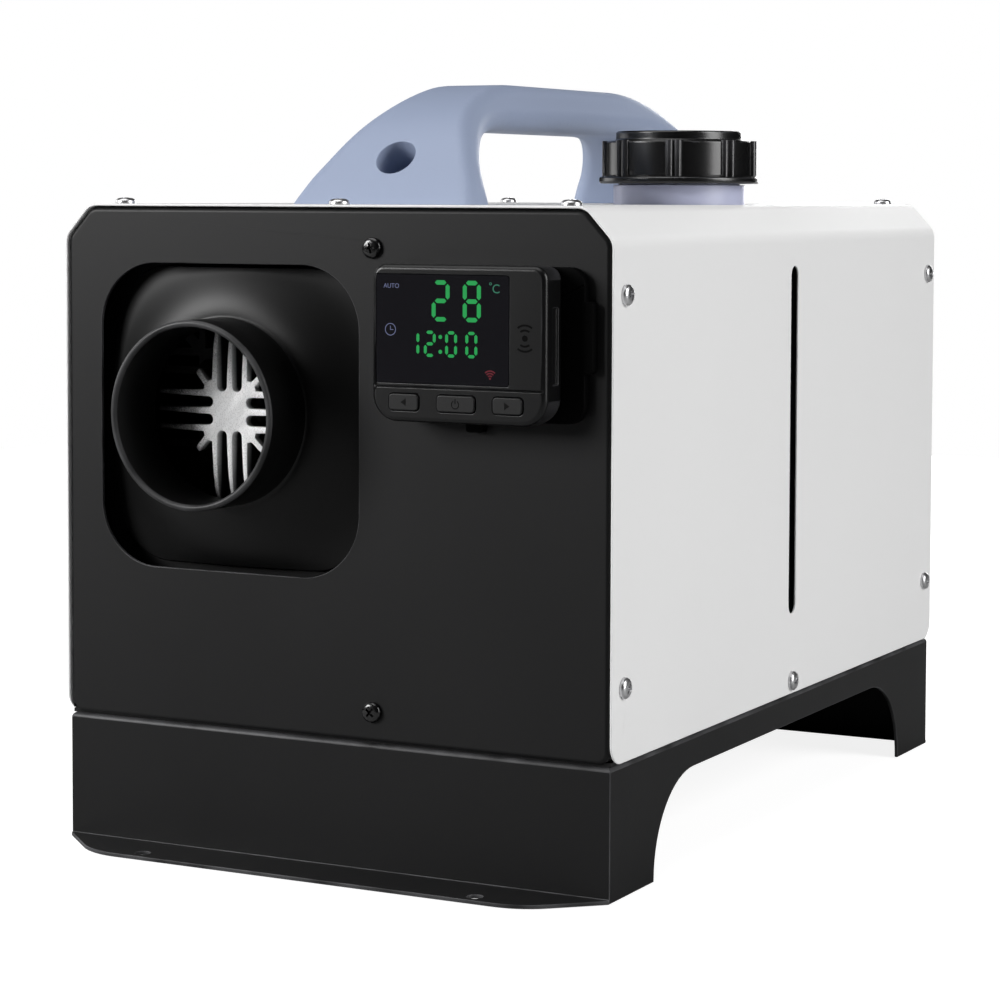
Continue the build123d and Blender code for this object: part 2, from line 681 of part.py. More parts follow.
def make_outlet_hood():
    """A crowned, rounded square cushion behind the opening, with the round spigot standing out of it."""
    rim_y = FRONT_Y - SPIGOT_REACH
    root_y = FRONT_Y - HOOD_ROOT_Y
    rear_y = FRONT_Y + HOOD_REAR_Y
    flange_y = rear_y - HOOD_FLANGE_T
    bore_r = SPIGOT_R - SPIGOT_WALL
    mouth_r = SHELL_BORE_R - HOOD_MOUTH_IN
    throat_y = root_y + SPIGOT_WALL
    reach = max(RECESS_W, RECESS_H)
    middle = (SPIGOT_R + reach) / 2
    crown = [(r, root_y + HOOD_CROWN_R - (HOOD_CROWN_R ** 2 - (r - SPIGOT_R) ** 2) ** 0.5)
             for r in (SPIGOT_R, middle, reach)]
    profile = make_face([
        Line((bore_r, rim_y), (SPIGOT_R, rim_y)),
        Line((SPIGOT_R, rim_y), crown[0]),
        ThreePointArc(*crown),
        Line(crown[2], (reach, rear_y + HOOD_CROWN_R)),
        Line((reach, rear_y + HOOD_CROWN_R), (bore_r, rear_y + HOOD_CROWN_R)),
        Line((bore_r, rear_y + HOOD_CROWN_R), (bore_r, rim_y))])
    profile = fillet(profile.vertices().sort_by_distance((SPIGOT_R, root_y, 0))[0], HOOD_ROOT_R)
    lips = [profile.vertices().sort_by_distance((r, rim_y, 0))[0] for r in (SPIGOT_R, bore_r)]
    profile = chamfer(lips, HOOD_LIP)
    hood = revolve(Plane((HEATER_X, 0, HEATER_Z)) * profile, HEATER_AXIS, 360)
    hood &= slab(recess_outline(HOOD_MARGIN), rim_y - CUT, rear_y)
    shoulder = hood.edges().filter_by(lambda e: e.center().Y < flange_y and hypot(
        e.center().X - HEATER_X, e.center().Z - HEATER_Z) > SPIGOT_R + HOOD_ROUND)
    hood = fillet(shoulder, HOOD_ROUND)
    hood += slab(recess_outline(HOOD_FLANGE_MARGIN), flange_y, rear_y)
    throat = make_face([
        ThreePointArc((mouth_r, rear_y), (HOOD_THROAT_R, root_y + HOOD_THROAT_DEPTH), (bore_r, throat_y)),
        Line((bore_r, throat_y), (0, throat_y)),
        Line((0, throat_y), (0, rear_y + CUT)),
        Line((0, rear_y + CUT), (mouth_r, rear_y + CUT)),
        Line((mouth_r, rear_y + CUT), (mouth_r, rear_y))])
    return hood - revolve(Plane((HEATER_X, 0, HEATER_Z)) * throat, HEATER_AXIS, 360)


def make_shell(side):
    """The upper (1) or lower (-1) half of the heater's plastic shell."""
    ring = Circle(SHELL_R) - Circle(SHELL_BORE_R)
    ring += Pos(SHELL_R + SHELL_LUG / 2 - 1, 0) * Rectangle(SHELL_LUG + 2, 2 * SHELL_LUG)
    ring += Pos(-SHELL_R - SHELL_LUG / 2 + 1, 0) * Rectangle(SHELL_LUG + 2, 2 * SHELL_LUG)
    ring -= Circle(SHELL_BORE_R)
    half = ring & Pos(0, side * SHELL_R) * Rectangle(4 * SHELL_R, 2 * SHELL_R)
    shell = slab(Pos(HEATER_X, HEATER_Z) * half, SHELL_START_Y, SHELL_END_Y)
    rib_y = (CHAMBER_END_Y + BLOWER_END_Y - RIB_L) / 2
    rib_root_r = SHELL_BORE_R + SHELL_WALL / 2
    for angle in (20, 90, 160):
        rib = block(BLOWER_R + RIB_GAP, rib_root_r, rib_y, rib_y + RIB_L, -RIB_T / 2, RIB_T / 2)
        shell += Pos(HEATER_X, 0, HEATER_Z) * Rot(0, -side * angle, 0) * rib
    if side < 0:
        half_w = FOOT_BLOCK_W / 2 + SHELL_FOOT_ROOM
        half_l = FOOT_BLOCK_L / 2 + SHELL_FOOT_ROOM
        shell -= block(HEATER_X - half_w, HEATER_X + half_w, FOOT_Y - half_l, FOOT_Y + half_l,
                       HEATER_FOOT_Z, HEATER_Z - CORE_R)
        nipple_room = LINE_R + SHELL_FOOT_ROOM
        shell -= rod(nipple_room, (HEATER_X, BURNER_NIPPLE_Y, HEATER_FOOT_Z), (0, 0, 1), CORE_R)
    return shell


def fin(angle, offset, thickness, start_y, end_y):
    """One straight fin, standing offset beside the heater's axis and pointing to angle."""
    blade = block(0, FIN_REACH + CUT, start_y, end_y, offset - thickness / 2, offset + thickness / 2)
    return Pos(HEATER_X, 0, HEATER_Z) * Rot(0, -angle, 0) * blade


def make_heat_exchanger():
    dome_y = FIN_START_Y + CORE_SETBACK
    falling = [(FIN_FACE_R + out, FIN_START_Y + back) for out, back in FIN_STEPS]
    envelope = turned([(0, FIN_START_Y), (FIN_FACE_R, FIN_START_Y), *falling,
                       (FIN_FACE_R + FIN_STEPS[-1][0], EXCHANGER_END_Y), (0, EXCHANGER_END_Y)])
    fins = []
    for quarter in range(4):
        angle = 90 * quarter
        for step in (-1, 0, 1):
            fins.append(fin(angle, step * FIN_PITCH, FIN_T, FIN_START_Y, EXCHANGER_END_Y))
        for step in (-3, -2, 2, 3):
            fins.append(fin(angle, step * FIN_PITCH, FIN_T, dome_y, EXCHANGER_END_Y))
        stub = fin(angle + 45, 0, STUB_T, FIN_START_Y, EXCHANGER_END_Y)
        stub -= turned([(STUB_REACH, FIN_START_Y - CUT), (2 * FIN_REACH, FIN_START_Y - CUT),
                        (2 * FIN_REACH, dome_y), (STUB_REACH, dome_y)])
        fins.append(stub)
    hub = rod(HUB_R, (HEATER_X, FIN_START_Y, HEATER_Z), (0, 1, 0), CORE_SETBACK)
    core = turned([(0, CORE_START_Y), (CORE_NOSE_R, CORE_START_Y), (CORE_R, CORE_START_Y + CORE_NOSE_L),
                   (CORE_R, EXCHANGER_END_Y), (0, EXCHANGER_END_Y)])
    body = core + hub
    for blade in fins:
        body += blade
    body &= envelope
    root_r = (FIN_PITCH - FIN_T) / 2
    for quarter in range(4):
        for side in (-1, 1):
            place = (SCALLOP_START + root_r, FIN_START_Y, side * FIN_PITCH / 2)
            scallop = rod(root_r, place, (0, 1, 0), CORE_SETBACK)
            body -= Pos(HEATER_X, 0, HEATER_Z) * Rot(0, 90 * quarter, 0) * scallop
    block_x = FOOT_BLOCK_W / 2
    block_y = FOOT_BLOCK_L / 2
    body += block(HEATER_X - block_x, HEATER_X + block_x, FOOT_Y - block_y, FOOT_Y + block_y,
                  HEATER_FOOT_Z, HEATER_Z)
    plate_x = FOOT_W / 2
    plate_y = FOOT_L / 2
    body += block(HEATER_X - plate_x, HEATER_X + plate_x, FOOT_Y - plate_y, FOOT_Y + plate_y,
                  HEATER_FOOT_Z, HEATER_FOOT_Z + FOOT_T)
    bore_r = CORE_R - CORE_WALL
    bore_y = CORE_START_Y + CORE_WALL
    body -= turned([(0, bore_y), (CORE_NOSE_R - CORE_WALL, bore_y), (bore_r, bore_y + CORE_NOSE_L),
                    (bore_r, EXCHANGER_END_Y + CUT), (0, EXCHANGER_END_Y + CUT)])
    for x, y in pipe_places():
        body -= rod(PIPE_R - PIPE_WALL, (x, y, HEATER_FOOT_Z - CUT), (0, 0, 1), FOOT_DROP / 2)
    for x, y in stud_places():
        body -= rod(STUD_R + SCREW_PLAY, (x, y, HEATER_FOOT_Z - CUT), (0, 0, 1), FOOT_T + 2 * CUT)
    return body - glow_plug_hole()


def stud_places():
    return [(HEATER_X + x, FOOT_Y + y) for x in (-STUD_X, STUD_X) for y in (-STUD_Y, STUD_Y)]


def make_combustion_chamber():
    start_y = CHAMBER_END_Y - CHAMBER_L
    inner_r = CHAMBER_R - CHAMBER_WALL
    flange_r = BLOWER_R - CHAMBER_FLANGE_IN
    chamber = turned([
        (inner_r, start_y), (CHAMBER_R, start_y), (CHAMBER_R, EXCHANGER_END_Y), (flange_r, EXCHANGER_END_Y),
        (flange_r, CHAMBER_END_Y), (SHAFT_BOSS_R, CHAMBER_END_Y), (SHAFT_BOSS_R, EXCHANGER_END_Y),
        (inner_r, EXCHANGER_END_Y)])
    for row in range(PORT_ROWS):
        y = start_y + PORT_START + PORT_PITCH * row
        port = rod(PORT_R, (0, y, 0), (0, 0, 1), CHAMBER_R + CUT)
        for turn in range(PORT_COUNT):
            angle = 360 / PORT_COUNT * (turn + row / 2)
            chamber -= Pos(HEATER_X, 0, HEATER_Z) * Rot(0, angle, 0) * port
    return chamber - glow_plug_hole()


def glow_plug_hole():
    y = EXCHANGER_END_Y - PLUG_SETBACK
    return rod(PLUG_R + PLUG_PLAY, (HEATER_X, y, HEATER_Z), (0, 0, 1), SHELL_R)


def make_glow_plug():
    y = EXCHANGER_END_Y - PLUG_SETBACK
    low = CHAMBER_R - PLUG_TIP_IN
    tip = rod(PLUG_TIP_R, (HEATER_X, y, HEATER_Z + low), (0, 0, 1), CORE_R - low)
    seat = CORE_R - PLUG_SEAT
    body = rod(PLUG_R, (HEATER_X, y, HEATER_Z + seat), (0, 0, 1), SHELL_BORE_R - PLUG_HEAD_GAP - CORE_R)
    return tip + body


def make_overheat_sensor():
    low = HEATER_Z + FIN_REACH
    return block(HEATER_X - SENSOR_W / 2, HEATER_X + SENSOR_W / 2, FOOT_Y - SENSOR_L / 2,
                 FOOT_Y + SENSOR_L / 2, low, low + SENSOR_H)


def make_blower_housing():
    cavity_r = IMPELLER_R + IMPELLER_ROOM
    front = CHAMBER_END_Y
    housing = turned([
        (SHAFT_WINDOW_R, front), (BLOWER_R, front), (BLOWER_R, BLOWER_END_Y), (cavity_r, BLOWER_END_Y),
        (cavity_r, front + BLOWER_WALL), (SHAFT_WINDOW_R, front + BLOWER_WALL)])
    nipple_len = BURNER_NIPPLE_DROP - BLOWER_R + BURNER_NIPPLE_ROOT
    housing += rod(LINE_R, (HEATER_X, BURNER_NIPPLE_Y, BURNER_NIPPLE_Z), (0, 0, 1), nipple_len)
    return housing


def make_impeller():
    start = SHAFT_START_Y + IMPELLER_GAP / 2
    end = BLOWER_END_Y - IMPELLER_GAP
    bore = SHAFT_R + SHAFT_PLAY
    plate = end - IMPELLER_PLATE_T
    wheel = turned([(bore, start), (SHAFT_BOSS_R, start), (SHAFT_BOSS_R, plate), (IMPELLER_R, plate),
                    (IMPELLER_R, end), (bore, end)])
    vane = Circle(VANE_R + IMPELLER_VANE_T / 2) - Circle(VANE_R - IMPELLER_VANE_T / 2)
    vane &= Pos(0, IMPELLER_R) * Rectangle(4 * IMPELLER_R, 2 * IMPELLER_R)
    vane_solid = slab(Pos(VANE_OFFSET, 0) * vane, start, end - IMPELLER_PLATE_T / 2)
    for turn in range(IMPELLER_BLADES):
        wheel += Pos(HEATER_X, 0, HEATER_Z) * Rot(0, 360 / IMPELLER_BLADES * turn, 0) * vane_solid
    limit = turned([(bore, start), (IMPELLER_R, start), (IMPELLER_R, end), (bore, end)])
    return wheel & limit


def make_fan_motor():
    boss_y = MOTOR_END_Y + MOTOR_NOSE
    motor = turned([
        (SHAFT_R + SHAFT_PLAY, BLOWER_END_Y), (BLOWER_R, BLOWER_END_Y), (BLOWER_R, MOTOR_START_Y),
        (MOTOR_R, MOTOR_START_Y), (MOTOR_R, MOTOR_END_Y - MOTOR_NOSE), (MOTOR_R - MOTOR_NOSE, MOTOR_END_Y),
        (SHAFT_BOSS_R, MOTOR_END_Y), (SHAFT_BOSS_R, boss_y), (SHAFT_R + SHAFT_PLAY, boss_y)])
    return motor


def make_motor_shaft():
    return rod(SHAFT_R, (HEATER_X, SHAFT_START_Y, HEATER_Z), (0, 1, 0), SHAFT_END_Y - SHAFT_START_Y)


def make_hot_air_fan():
    bore = SHAFT_R + SHAFT_PLAY
    end = FAN_START_Y + FAN_HUB_L
    fan = turned([(bore, FAN_START_Y), (FAN_HUB_R - FAN_HUB_EDGE, FAN_START_Y),
                  (FAN_HUB_R, FAN_START_Y + FAN_HUB_EDGE_L), (FAN_HUB_R, end - FAN_HUB_NOSE_L),
                  (FAN_HUB_R - FAN_HUB_NOSE, end), (bore, end)])
    blade = Rot(90 - FAN_PITCH, 0, 0) * Box(FAN_R, FAN_BLADE_T, FAN_BLADE_W)
    blade = Pos(FAN_HUB_R - FAN_BLADE_ROOT + FAN_R / 2, FAN_START_Y + FAN_HUB_L / 2, 0) * blade
    for turn in range(FAN_BLADES):
        fan += Pos(HEATER_X, 0, HEATER_Z) * Rot(0, 360 / FAN_BLADES * turn, 0) * blade
    front_y = FAN_START_Y - FAN_TIP_OUT
    back_y = end + FAN_TIP_OUT
    limit = turned([(bore, front_y), (FAN_R, front_y), (FAN_R, back_y), (bore, back_y)])
    return fan & limit


def round_grille(radius, rings, bar, thickness, y, spokes):
    """Concentric rings on crossed bars, about the heater's axis."""
    pitch = radius / (rings + 0.5)
    grille = rod(pitch / 2 + bar / 2, (HEATER_X, y, HEATER_Z), (0, 1, 0), thickness)
    for ring in range(1, rings + 1):
        r = pitch * (ring + 0.5)
        grille += tube(r + bar / 2, r - bar / 2, (HEATER_X, y, HEATER_Z), (0, 1, 0), thickness)
    for turn in range(spokes):
        spoke = block(0, radius, y, y + thickness, -bar / 2, bar / 2)
        grille += Pos(HEATER_X, 0, HEATER_Z) * Rot(0, 360 / spokes * turn, 0) * spoke
    return grille


def make_intake_guard():
    rim_r = SHELL_BORE_R - GUARD_RIM
    guard = round_grille(rim_r + CUT, GUARD_RINGS, GUARD_BAR, GUARD_T, SHELL_END_Y, GUARD_SPOKES)
    return guard + tube(SHELL_R, rim_r, (HEATER_X, SHELL_END_Y, HEATER_Z), (0, 1, 0), GUARD_T)


def make_control_unit():
    low = HEATER_Z + MOTOR_R + SEAM
    unit = block(HEATER_X - CONTROL_W / 2, HEATER_X + CONTROL_W / 2, MOTOR_START_Y,
                 MOTOR_START_Y + CONTROL_L, low, low + CONTROL_H)
    return chamfer(unit.edges().filter_by(Axis.Y), CONTROL_CHAMFER)


# ---- under the heater ----------------------------------------------------------------
def make_mount_gasket():
    sheet = block(HEATER_X - FOOT_W / 2, HEATER_X + FOOT_W / 2, FOOT_Y - FOOT_L / 2, FOOT_Y + FOOT_L / 2,
                  CRADLE_TOP_Z, HEATER_FOOT_Z)
    for x, y in pipe_places():
        sheet -= rod(PIPE_R + GASKET_PLAY, (x, y, CRADLE_TOP_Z - CUT), (0, 0, 1), GASKET_T + 2 * CUT)
    for x, y in stud_places():
        sheet -= rod(STUD_R + SCREW_PLAY, (x, y, CRADLE_TOP_Z - CUT), (0, 0, 1), GASKET_T + 2 * CUT)
    return sheet


def cradle_screw_places():
    foot_x = CRADLE_W / 2 - CRADLE_FOOT / 2 - CRADLE_T / 2
    row = CRADLE_L / 2 - CRADLE_SCREW_IN
    return [(HEATER_X + side * foot_x, FOOT_Y + end * row, FLOOR_TOP_Z + CRADLE_T)
            for side in (-1, 1) for end in (-1, 1)]


def make_heater_cradle():
    half_w = CRADLE_W / 2
    y0 = FOOT_Y - CRADLE_L / 2
    y1 = FOOT_Y + CRADLE_L / 2
    cradle = block(HEATER_X - half_w, HEATER_X + half_w, y0, y1, CRADLE_TOP_Z - CRADLE_T, CRADLE_TOP_Z)
    for side in (-1, 1):
        outer = HEATER_X + side * half_w
        x0, x1 = sorted((outer, outer - side * CRADLE_T))
        cradle += block(x0, x1, y0, y1, FLOOR_TOP_Z, CRADLE_TOP_Z)
        x0, x1 = sorted((outer, outer - side * CRADLE_FOOT))
        cradle += block(x0, x1, y0, y1, FLOOR_TOP_Z, FLOOR_TOP_Z + CRADLE_T)
    window_h = (CRADLE_TOP_Z - FLOOR_TOP_Z) / 2
    window = Pos(FOOT_Y, (FLOOR_TOP_Z + CRADLE_TOP_Z) / 2) * RectangleRounded(
        CRADLE_L - 2 * CRADLE_WINDOW_IN, window_h, min(CRADLE_WINDOW_R, window_h / 3))
    cradle -= side_slab(window, HEATER_X - BODY_W / 2, HEATER_X + BODY_W / 2)
    hole_z = CRADLE_TOP_Z - CRADLE_T - CUT
    for x, y in pipe_places():
        cradle -= rod(PIPE_R + CRADLE_PLAY, (x, y, hole_z), (0, 0, 1), CRADLE_T + 2 * CUT)
    for x, y in stud_places():
        cradle -= rod(STUD_R + SCREW_PLAY, (x, y, hole_z), (0, 0, 1), CRADLE_T + 2 * CUT)
    for place in cradle_screw_places():
        cradle -= screw_hole(place, (0, 0, 1))
    return cradle


def make_foot_studs():
    """Studs through the heater's foot, each with a nut under the cradle."""
    studs = []
    low = CRADLE_TOP_Z - CRADLE_T
    for x, y in stud_places():
        stud = rod(STUD_R, (x, y, low - STUD_TAIL), (0, 0, 1), HEATER_FOOT_Z + FOOT_T - low + STUD_TAIL)
        nut = extrude(Plane((x, y, low - STUD_NUT_T)) * RegularPolygon(STUD_NUT_R, 6), amount=STUD_NUT_T)
        studs.append(stud + nut)
    return Compound(studs)


def make_pipe(y):
    """A straight stub from the heater's foot down into the open base, beaded to stop a hose."""
    bore = PIPE_R - PIPE_WALL
    pipe = tube(PIPE_R, bore, (HEATER_X, y, PIPE_END_Z), (0, 0, 1), HEATER_FOOT_Z - PIPE_END_Z)
    bead_z = BASE_H - BASE_T - PIPE_BEAD_DROP
    return pipe + tube(PIPE_R + PIPE_BEAD, bore, (HEATER_X, y, bead_z), (0, 0, 1), PIPE_BEAD_L)


def make_pipe_seals():
    """Rubber rings that close the floor round each stub."""
    seals = []
    bore = PIPE_R + SEAL_PLAY
    body_r = bore + SEAL_WALL
    low = BASE_H - BASE_T
    for x, y in pipe_places():
        seals.append(turned_up([
            (bore, low), (body_r, low), (body_r, FLOOR_TOP_Z), (body_r + SEAL_BRIM, FLOOR_TOP_Z),
            (body_r + SEAL_BRIM, FLOOR_TOP_Z + SEAL_BRIM_T), (bore, FLOOR_TOP_Z + SEAL_BRIM_T)], x, y))
    return Compound(seals)


# ---- the fuel side -------------------------------------------------------------------
def make_fuel_tank():
    tank = block(TANK_LEFT_X, TANK_RIGHT_X, -TANK_L / 2, TANK_L / 2, TANK_LOW_Z, TANK_HIGH_Z)
    tank = fillet(tank.edges(), TANK_ROUND)
    hollow = block(TANK_LEFT_X + TANK_WALL, TANK_RIGHT_X - TANK_WALL, -TANK_L / 2 + TANK_WALL,
                   TANK_L / 2 - TANK_WALL, TANK_LOW_Z + TANK_WALL, TANK_HIGH_Z - TANK_WALL)
    hollow = fillet(hollow.edges(), TANK_ROUND - TANK_WALL)
    neck = turned_up([
        (0, TANK_HIGH_Z - TANK_WALL), (NECK_R, TANK_HIGH_Z - TANK_WALL), (NECK_R, TOP_Z + NECK_SHOULDER_Z),
        (NECK_THREAD_R, TOP_Z + NECK_SHOULDER_Z), (NECK_THREAD_R, NECK_RIM_Z), (0, NECK_RIM_Z)],
        NECK_X, NECK_Y)
    bore = rod(NECK_BORE_R, (NECK_X, NECK_Y, TANK_HIGH_Z - 2 * TANK_WALL), (0, 0, 1), NECK_RIM_Z)
    outlet = rod(LINE_R + SCREW_PLAY, (TANK_LEFT_X - CUT, OUTLET_Y, LINE_Z), (1, 0, 0), TANK_WALL + 2 * CUT)
    return tank + neck - hollow - bore - outlet


def make_tank_pads():
    pads = []
    for y in (-TANK_L / 3, TANK_L / 3):
        pads.append(block(TANK_LEFT_X + TANK_ROUND, TANK_RIGHT_X - TANK_ROUND, y - TANK_PAD_L / 2,
                          y + TANK_PAD_L / 2, FLOOR_TOP_Z, TANK_LOW_Z))
    return Compound(pads)


def make_fuel_cap():
    low = TOP_Z + CAP_BOTTOM_Z
    brim_top = low + CAP_BRIM_T
    shoulder = TOP_Z + CAP_SHOULDER_Z
    top = TOP_Z + CAP_TOP_Z
    bore = NECK_THREAD_R + CAP_THREAD_PLAY
    ceiling = NECK_RIM_Z + CAP_GASKET_T + CAP_GASKET_PLAY
    cap = turned_up([
        (bore, low), (CAP_BRIM_R, low), (CAP_BRIM_R, brim_top), (CAP_BODY_R, brim_top + CAP_BRIM_SLOPE),
        (CAP_BODY_R, shoulder), (CAP_TOP_R, shoulder), (CAP_TOP_R, top), (0, top), (0, ceiling),
        (bore, ceiling)], NECK_X, NECK_Y)
    crowns = cap.edges().filter_by(lambda e: e.geom_type == GeomType.CIRCLE and (
        e.center().Z > shoulder - 0.1 or abs(e.radius - CAP_BRIM_R) < 0.1))
    cap = fillet(crowns.filter_by(lambda e: e.radius > CAP_TOP_R - 0.1), CAP_ROUND)
    rib_low = low + CAP_BRIM_T / 2
    rib = rod(CAP_GRIP_R, (CAP_BODY_R, 0, rib_low), (0, 0, 1), shoulder - rib_low)
    for step in range(CAP_GRIPS):
        for side in (-1, 1):
            angle = CAP_GRIP_START + 360 / CAP_GRIPS * step + side * CAP_GRIP_SPREAD
            cap += Pos(NECK_X, NECK_Y, 0) * Rot(0, 0, angle) * rib
    return cap


def make_cap_gasket():
    bore = NECK_BORE_R - CAP_GASKET_IN
    return tube(NECK_THREAD_R, bore, (NECK_X, NECK_Y, NECK_RIM_Z), (0, 0, 1), CAP_GASKET_T)


def make_tank_outlet():
    """An elbow through the partition, from the tank towards the fuel filter."""
    inner_x = TANK_LEFT_X + TANK_WALL
    elbow = rod(LINE_R, (LINE_X, OUTLET_Y, LINE_Z), (1, 0, 0), inner_x - LINE_X)
    elbow += rod(LINE_R, (LINE_X, OUTLET_Y, LINE_Z), (0, 1, 0), OUTLET_RUN)
    return elbow + Pos(LINE_X, OUTLET_Y, LINE_Z) * Sphere(LINE_R)


def make_outlet_grommet():
    bore = LINE_R + SCREW_PLAY
    body_r = LINE_R + GROMMET_WALL - SEAL_PLAY
    side = PARTITION_X - GROMMET_L / 2
    body = tube(body_r, bore, (side, OUTLET_Y, LINE_Z), (1, 0, 0), GROMMET_L / 2 + PARTITION_T)
    return body + tube(body_r + GROMMET_BRIM, bore, (side, OUTLET_Y, LINE_Z), (1, 0, 0), GROMMET_L / 2)


def line_run(start_y, end_y):
    return tube(LINE_R, LINE_BORE_R, (LINE_X, start_y, LINE_Z), (0, 1, 0), end_y - start_y)


def make_tank_line():
    return line_run(OUTLET_Y + OUTLET_RUN, FILTER_START_Y)


def make_filter_line():
    return line_run(FILTER_START_Y + FILTER_L, PUMP_START_Y - PUMP_NIPPLE)


def make_fuel_filter():
    axis = Axis((LINE_X, 0, LINE_Z), (0, 1, 0))
    start = FILTER_START_Y
    end = start + FILTER_L
    shoulder = FILTER_NOZZLE_L + FILTER_CONE_L
    return turned([
        (0, start), (LINE_R, start), (LINE_R, start + FILTER_NOZZLE_L), (FILTER_R, start + shoulder),
        (FILTER_R, end - shoulder), (LINE_R, end - FILTER_NOZZLE_L), (LINE_R, end), (0, end)], axis)


def make_fuel_pump():
    axis = Axis((LINE_X, 0, LINE_Z), (0, 1, 0))
    start = PUMP_START_Y
    end = start + PUMP_L
    front = start + PUMP_FRONT_L
    rear = end - PUMP_REAR_L
    return turned([
        (0, start - PUMP_NIPPLE), (LINE_R, start - PUMP_NIPPLE), (LINE_R, start), (PUMP_FRONT_R, start),
        (PUMP_FRONT_R, front), (PUMP_R, front), (PUMP_R, rear), (PUMP_REAR_R, rear), (PUMP_REAR_R, end),
        (LINE_R, end), (LINE_R, end + PUMP_NIPPLE), (0, end + PUMP_NIPPLE)], axis)


def make_pump_clamp():
    y = PUMP_START_Y + PUMP_L / 2 - CLAMP_L / 2
    bore = PUMP_R + CLAMP_PLAY
    clamp = rod(bore + CLAMP_WALL, (LINE_X, y, LINE_Z), (0, 1, 0), CLAMP_L)
    half_foot = CLAMP_FOOT_H / 2
    clamp += block(LINE_X, PARTITION_X, y, y + CLAMP_L, LINE_Z - half_foot, LINE_Z + half_foot)
    return clamp - rod(bore, (LINE_X, y - CUT, LINE_Z), (0, 1, 0), CLAMP_L + 2 * CUT)


def make_burner_line():
    """The fuel line from the pump's rear end round to the burner's nipple."""
    start = (LINE_X, PUMP_START_Y + PUMP_L + PUMP_NIPPLE, LINE_Z)
    corners = [(LINE_X, LINE_BACK_Y, LINE_Z), (HEATER_X, LINE_BACK_Y, LINE_Z),
               (HEATER_X, BURNER_NIPPLE_Y, LINE_Z)]
    end = (HEATER_X, BURNER_NIPPLE_Y, BURNER_NIPPLE_Z)
    route = FilletPolyline(start, *corners, end, radius=LINE_BEND_R)
    section = Plane(origin=start, z_dir=(0, 1, 0)) * (Circle(LINE_R) - Circle(LINE_BORE_R))
    return sweep(section, path=route)


# ---- the handle ----------------------------------------------------------------------
def handle_bolt_places():
    """The bolts come up through the cover into both feet of the handle."""
    foot_y = REAR_Y - HANDLE_BOLT_Y
    low = TOP_Z - 2 * COVER_T
    return [(x, y, low) for x in (-HANDLE_BOLT_X, HANDLE_BOLT_X) for y in (-foot_y, foot_y)]


def make_carry_handle():
    toe = REAR_Y - HANDLE_TOE_Y
    heel = REAR_Y - HANDLE_HEEL_Y
    outside = [(y - toe, z) for y, z in HANDLE_OUTSIDE]
    inside = [(y - heel, z) for y, z in HANDLE_INSIDE]
    outside_back = [(-y, z) for y, z in reversed(outside)]
    inside_back = [(-y, z) for y, z in reversed(inside)]
    out_y, out_z = HANDLE_OUTSIDE_LEAN
    in_y, in_z = HANDLE_INSIDE_LEAN
    side_view = make_face([
        Spline(*outside, tangents=[(out_y, out_z), (1, 0)]),
        Line(outside[-1], outside_back[0]),
        Spline(*outside_back, tangents=[(1, 0), (out_y, -out_z)]),
        Line(outside_back[-1], inside_back[-1]),
        Spline(*reversed(inside_back), tangents=[(-in_y, in_z), (-1, 0)]),
        Line(inside_back[0], inside[-1]),
        Spline(*reversed(inside), tangents=[(-1, 0), (-in_y, -in_z)]),
        Line(inside[0], outside[0])])
    half_foot = HANDLE_FLANK[0][0]
    arch = side_slab(Pos(0, TOP_Z) * side_view, -half_foot, half_foot)
    right = HANDLE_FLANK
    left = [(-x, z) for x, z in reversed(right)]
    flank_x, flank_z = HANDLE_FLANK_LEAN
    front_view = make_face([
        Spline(*right, tangents=[(-flank_x, flank_z), (0, 1)]),
        Line(right[-1], left[0]),
        Spline(*left, tangents=[(0, -1), (-flank_x, -flank_z)]),
        Line(left[-1], right[0])])
    handle = arch & slab(Pos(0, TOP_Z) * front_view, -toe - CUT, toe + CUT)
    long_edges = handle.edges().filter_by(
        lambda e: e.center().Z > TOP_Z + 0.5 and abs(e.center().X) > HANDLE_ROUND / 2)
    handle = fillet(long_edges, HANDLE_ROUND)
    lean = radians(POCKET_LEAN)
    outward = Vector(0, -sin(lean), cos(lean))
    mouth = Vector(0, POCKET_Y - REAR_Y, TOP_Z + POCKET_Z)
    handle -= rod(POCKET_R, mouth - outward * POCKET_DEPTH, outward, 4 * POCKET_DEPTH)
    hole_depth = HANDLE_BOLT_L - COVER_T + CUT
    for x, y, low in handle_bolt_places():
        handle -= rod(HANDLE_BOLT_R + SCREW_PLAY, (x, y, TOP_Z - CUT), (0, 0, 1), hole_depth)
    return handle


def make_handle_bolts():
    bolts = []
    seat = TOP_Z - COVER_T
    for x, y, low in handle_bolt_places():
        shank = rod(HANDLE_BOLT_R, (x, y, seat), (0, 0, 1), HANDLE_BOLT_L - HANDLE_BOLT_END_GAP)
        head_z = seat - HANDLE_BOLT_HEAD_H
        bolts.append(shank + rod(HANDLE_BOLT_HEAD_R, (x, y, head_z), (0, 0, 1), HANDLE_BOLT_HEAD_H))
    return Compound(bolts)


# ---- the controller ------------------------------------------------------------------
def case_outline(inset):
    """The controller's outline seen from the front, drawn inset from its widest part."""
    half_w = CONTROLLER_W / 2 - inset
    half_h = CONTROLLER_H / 2 - inset
    face = Pos(CONTROLLER_X, CONTROLLER_Z) * Rectangle(2 * half_w, 2 * half_h)
    upper = face.vertices().filter_by(lambda v: v.Y > CONTROLLER_Z)
    face = fillet(upper, max(CONTROLLER_TOP_R - inset, 1.0))
    lower = face.vertices().filter_by(lambda v: v.Y < CONTROLLER_Z - half_h / 2).group_by(Axis.Y)[0]
    return fillet(lower, max(CONTROLLER_FOOT_R - inset, 1.0))


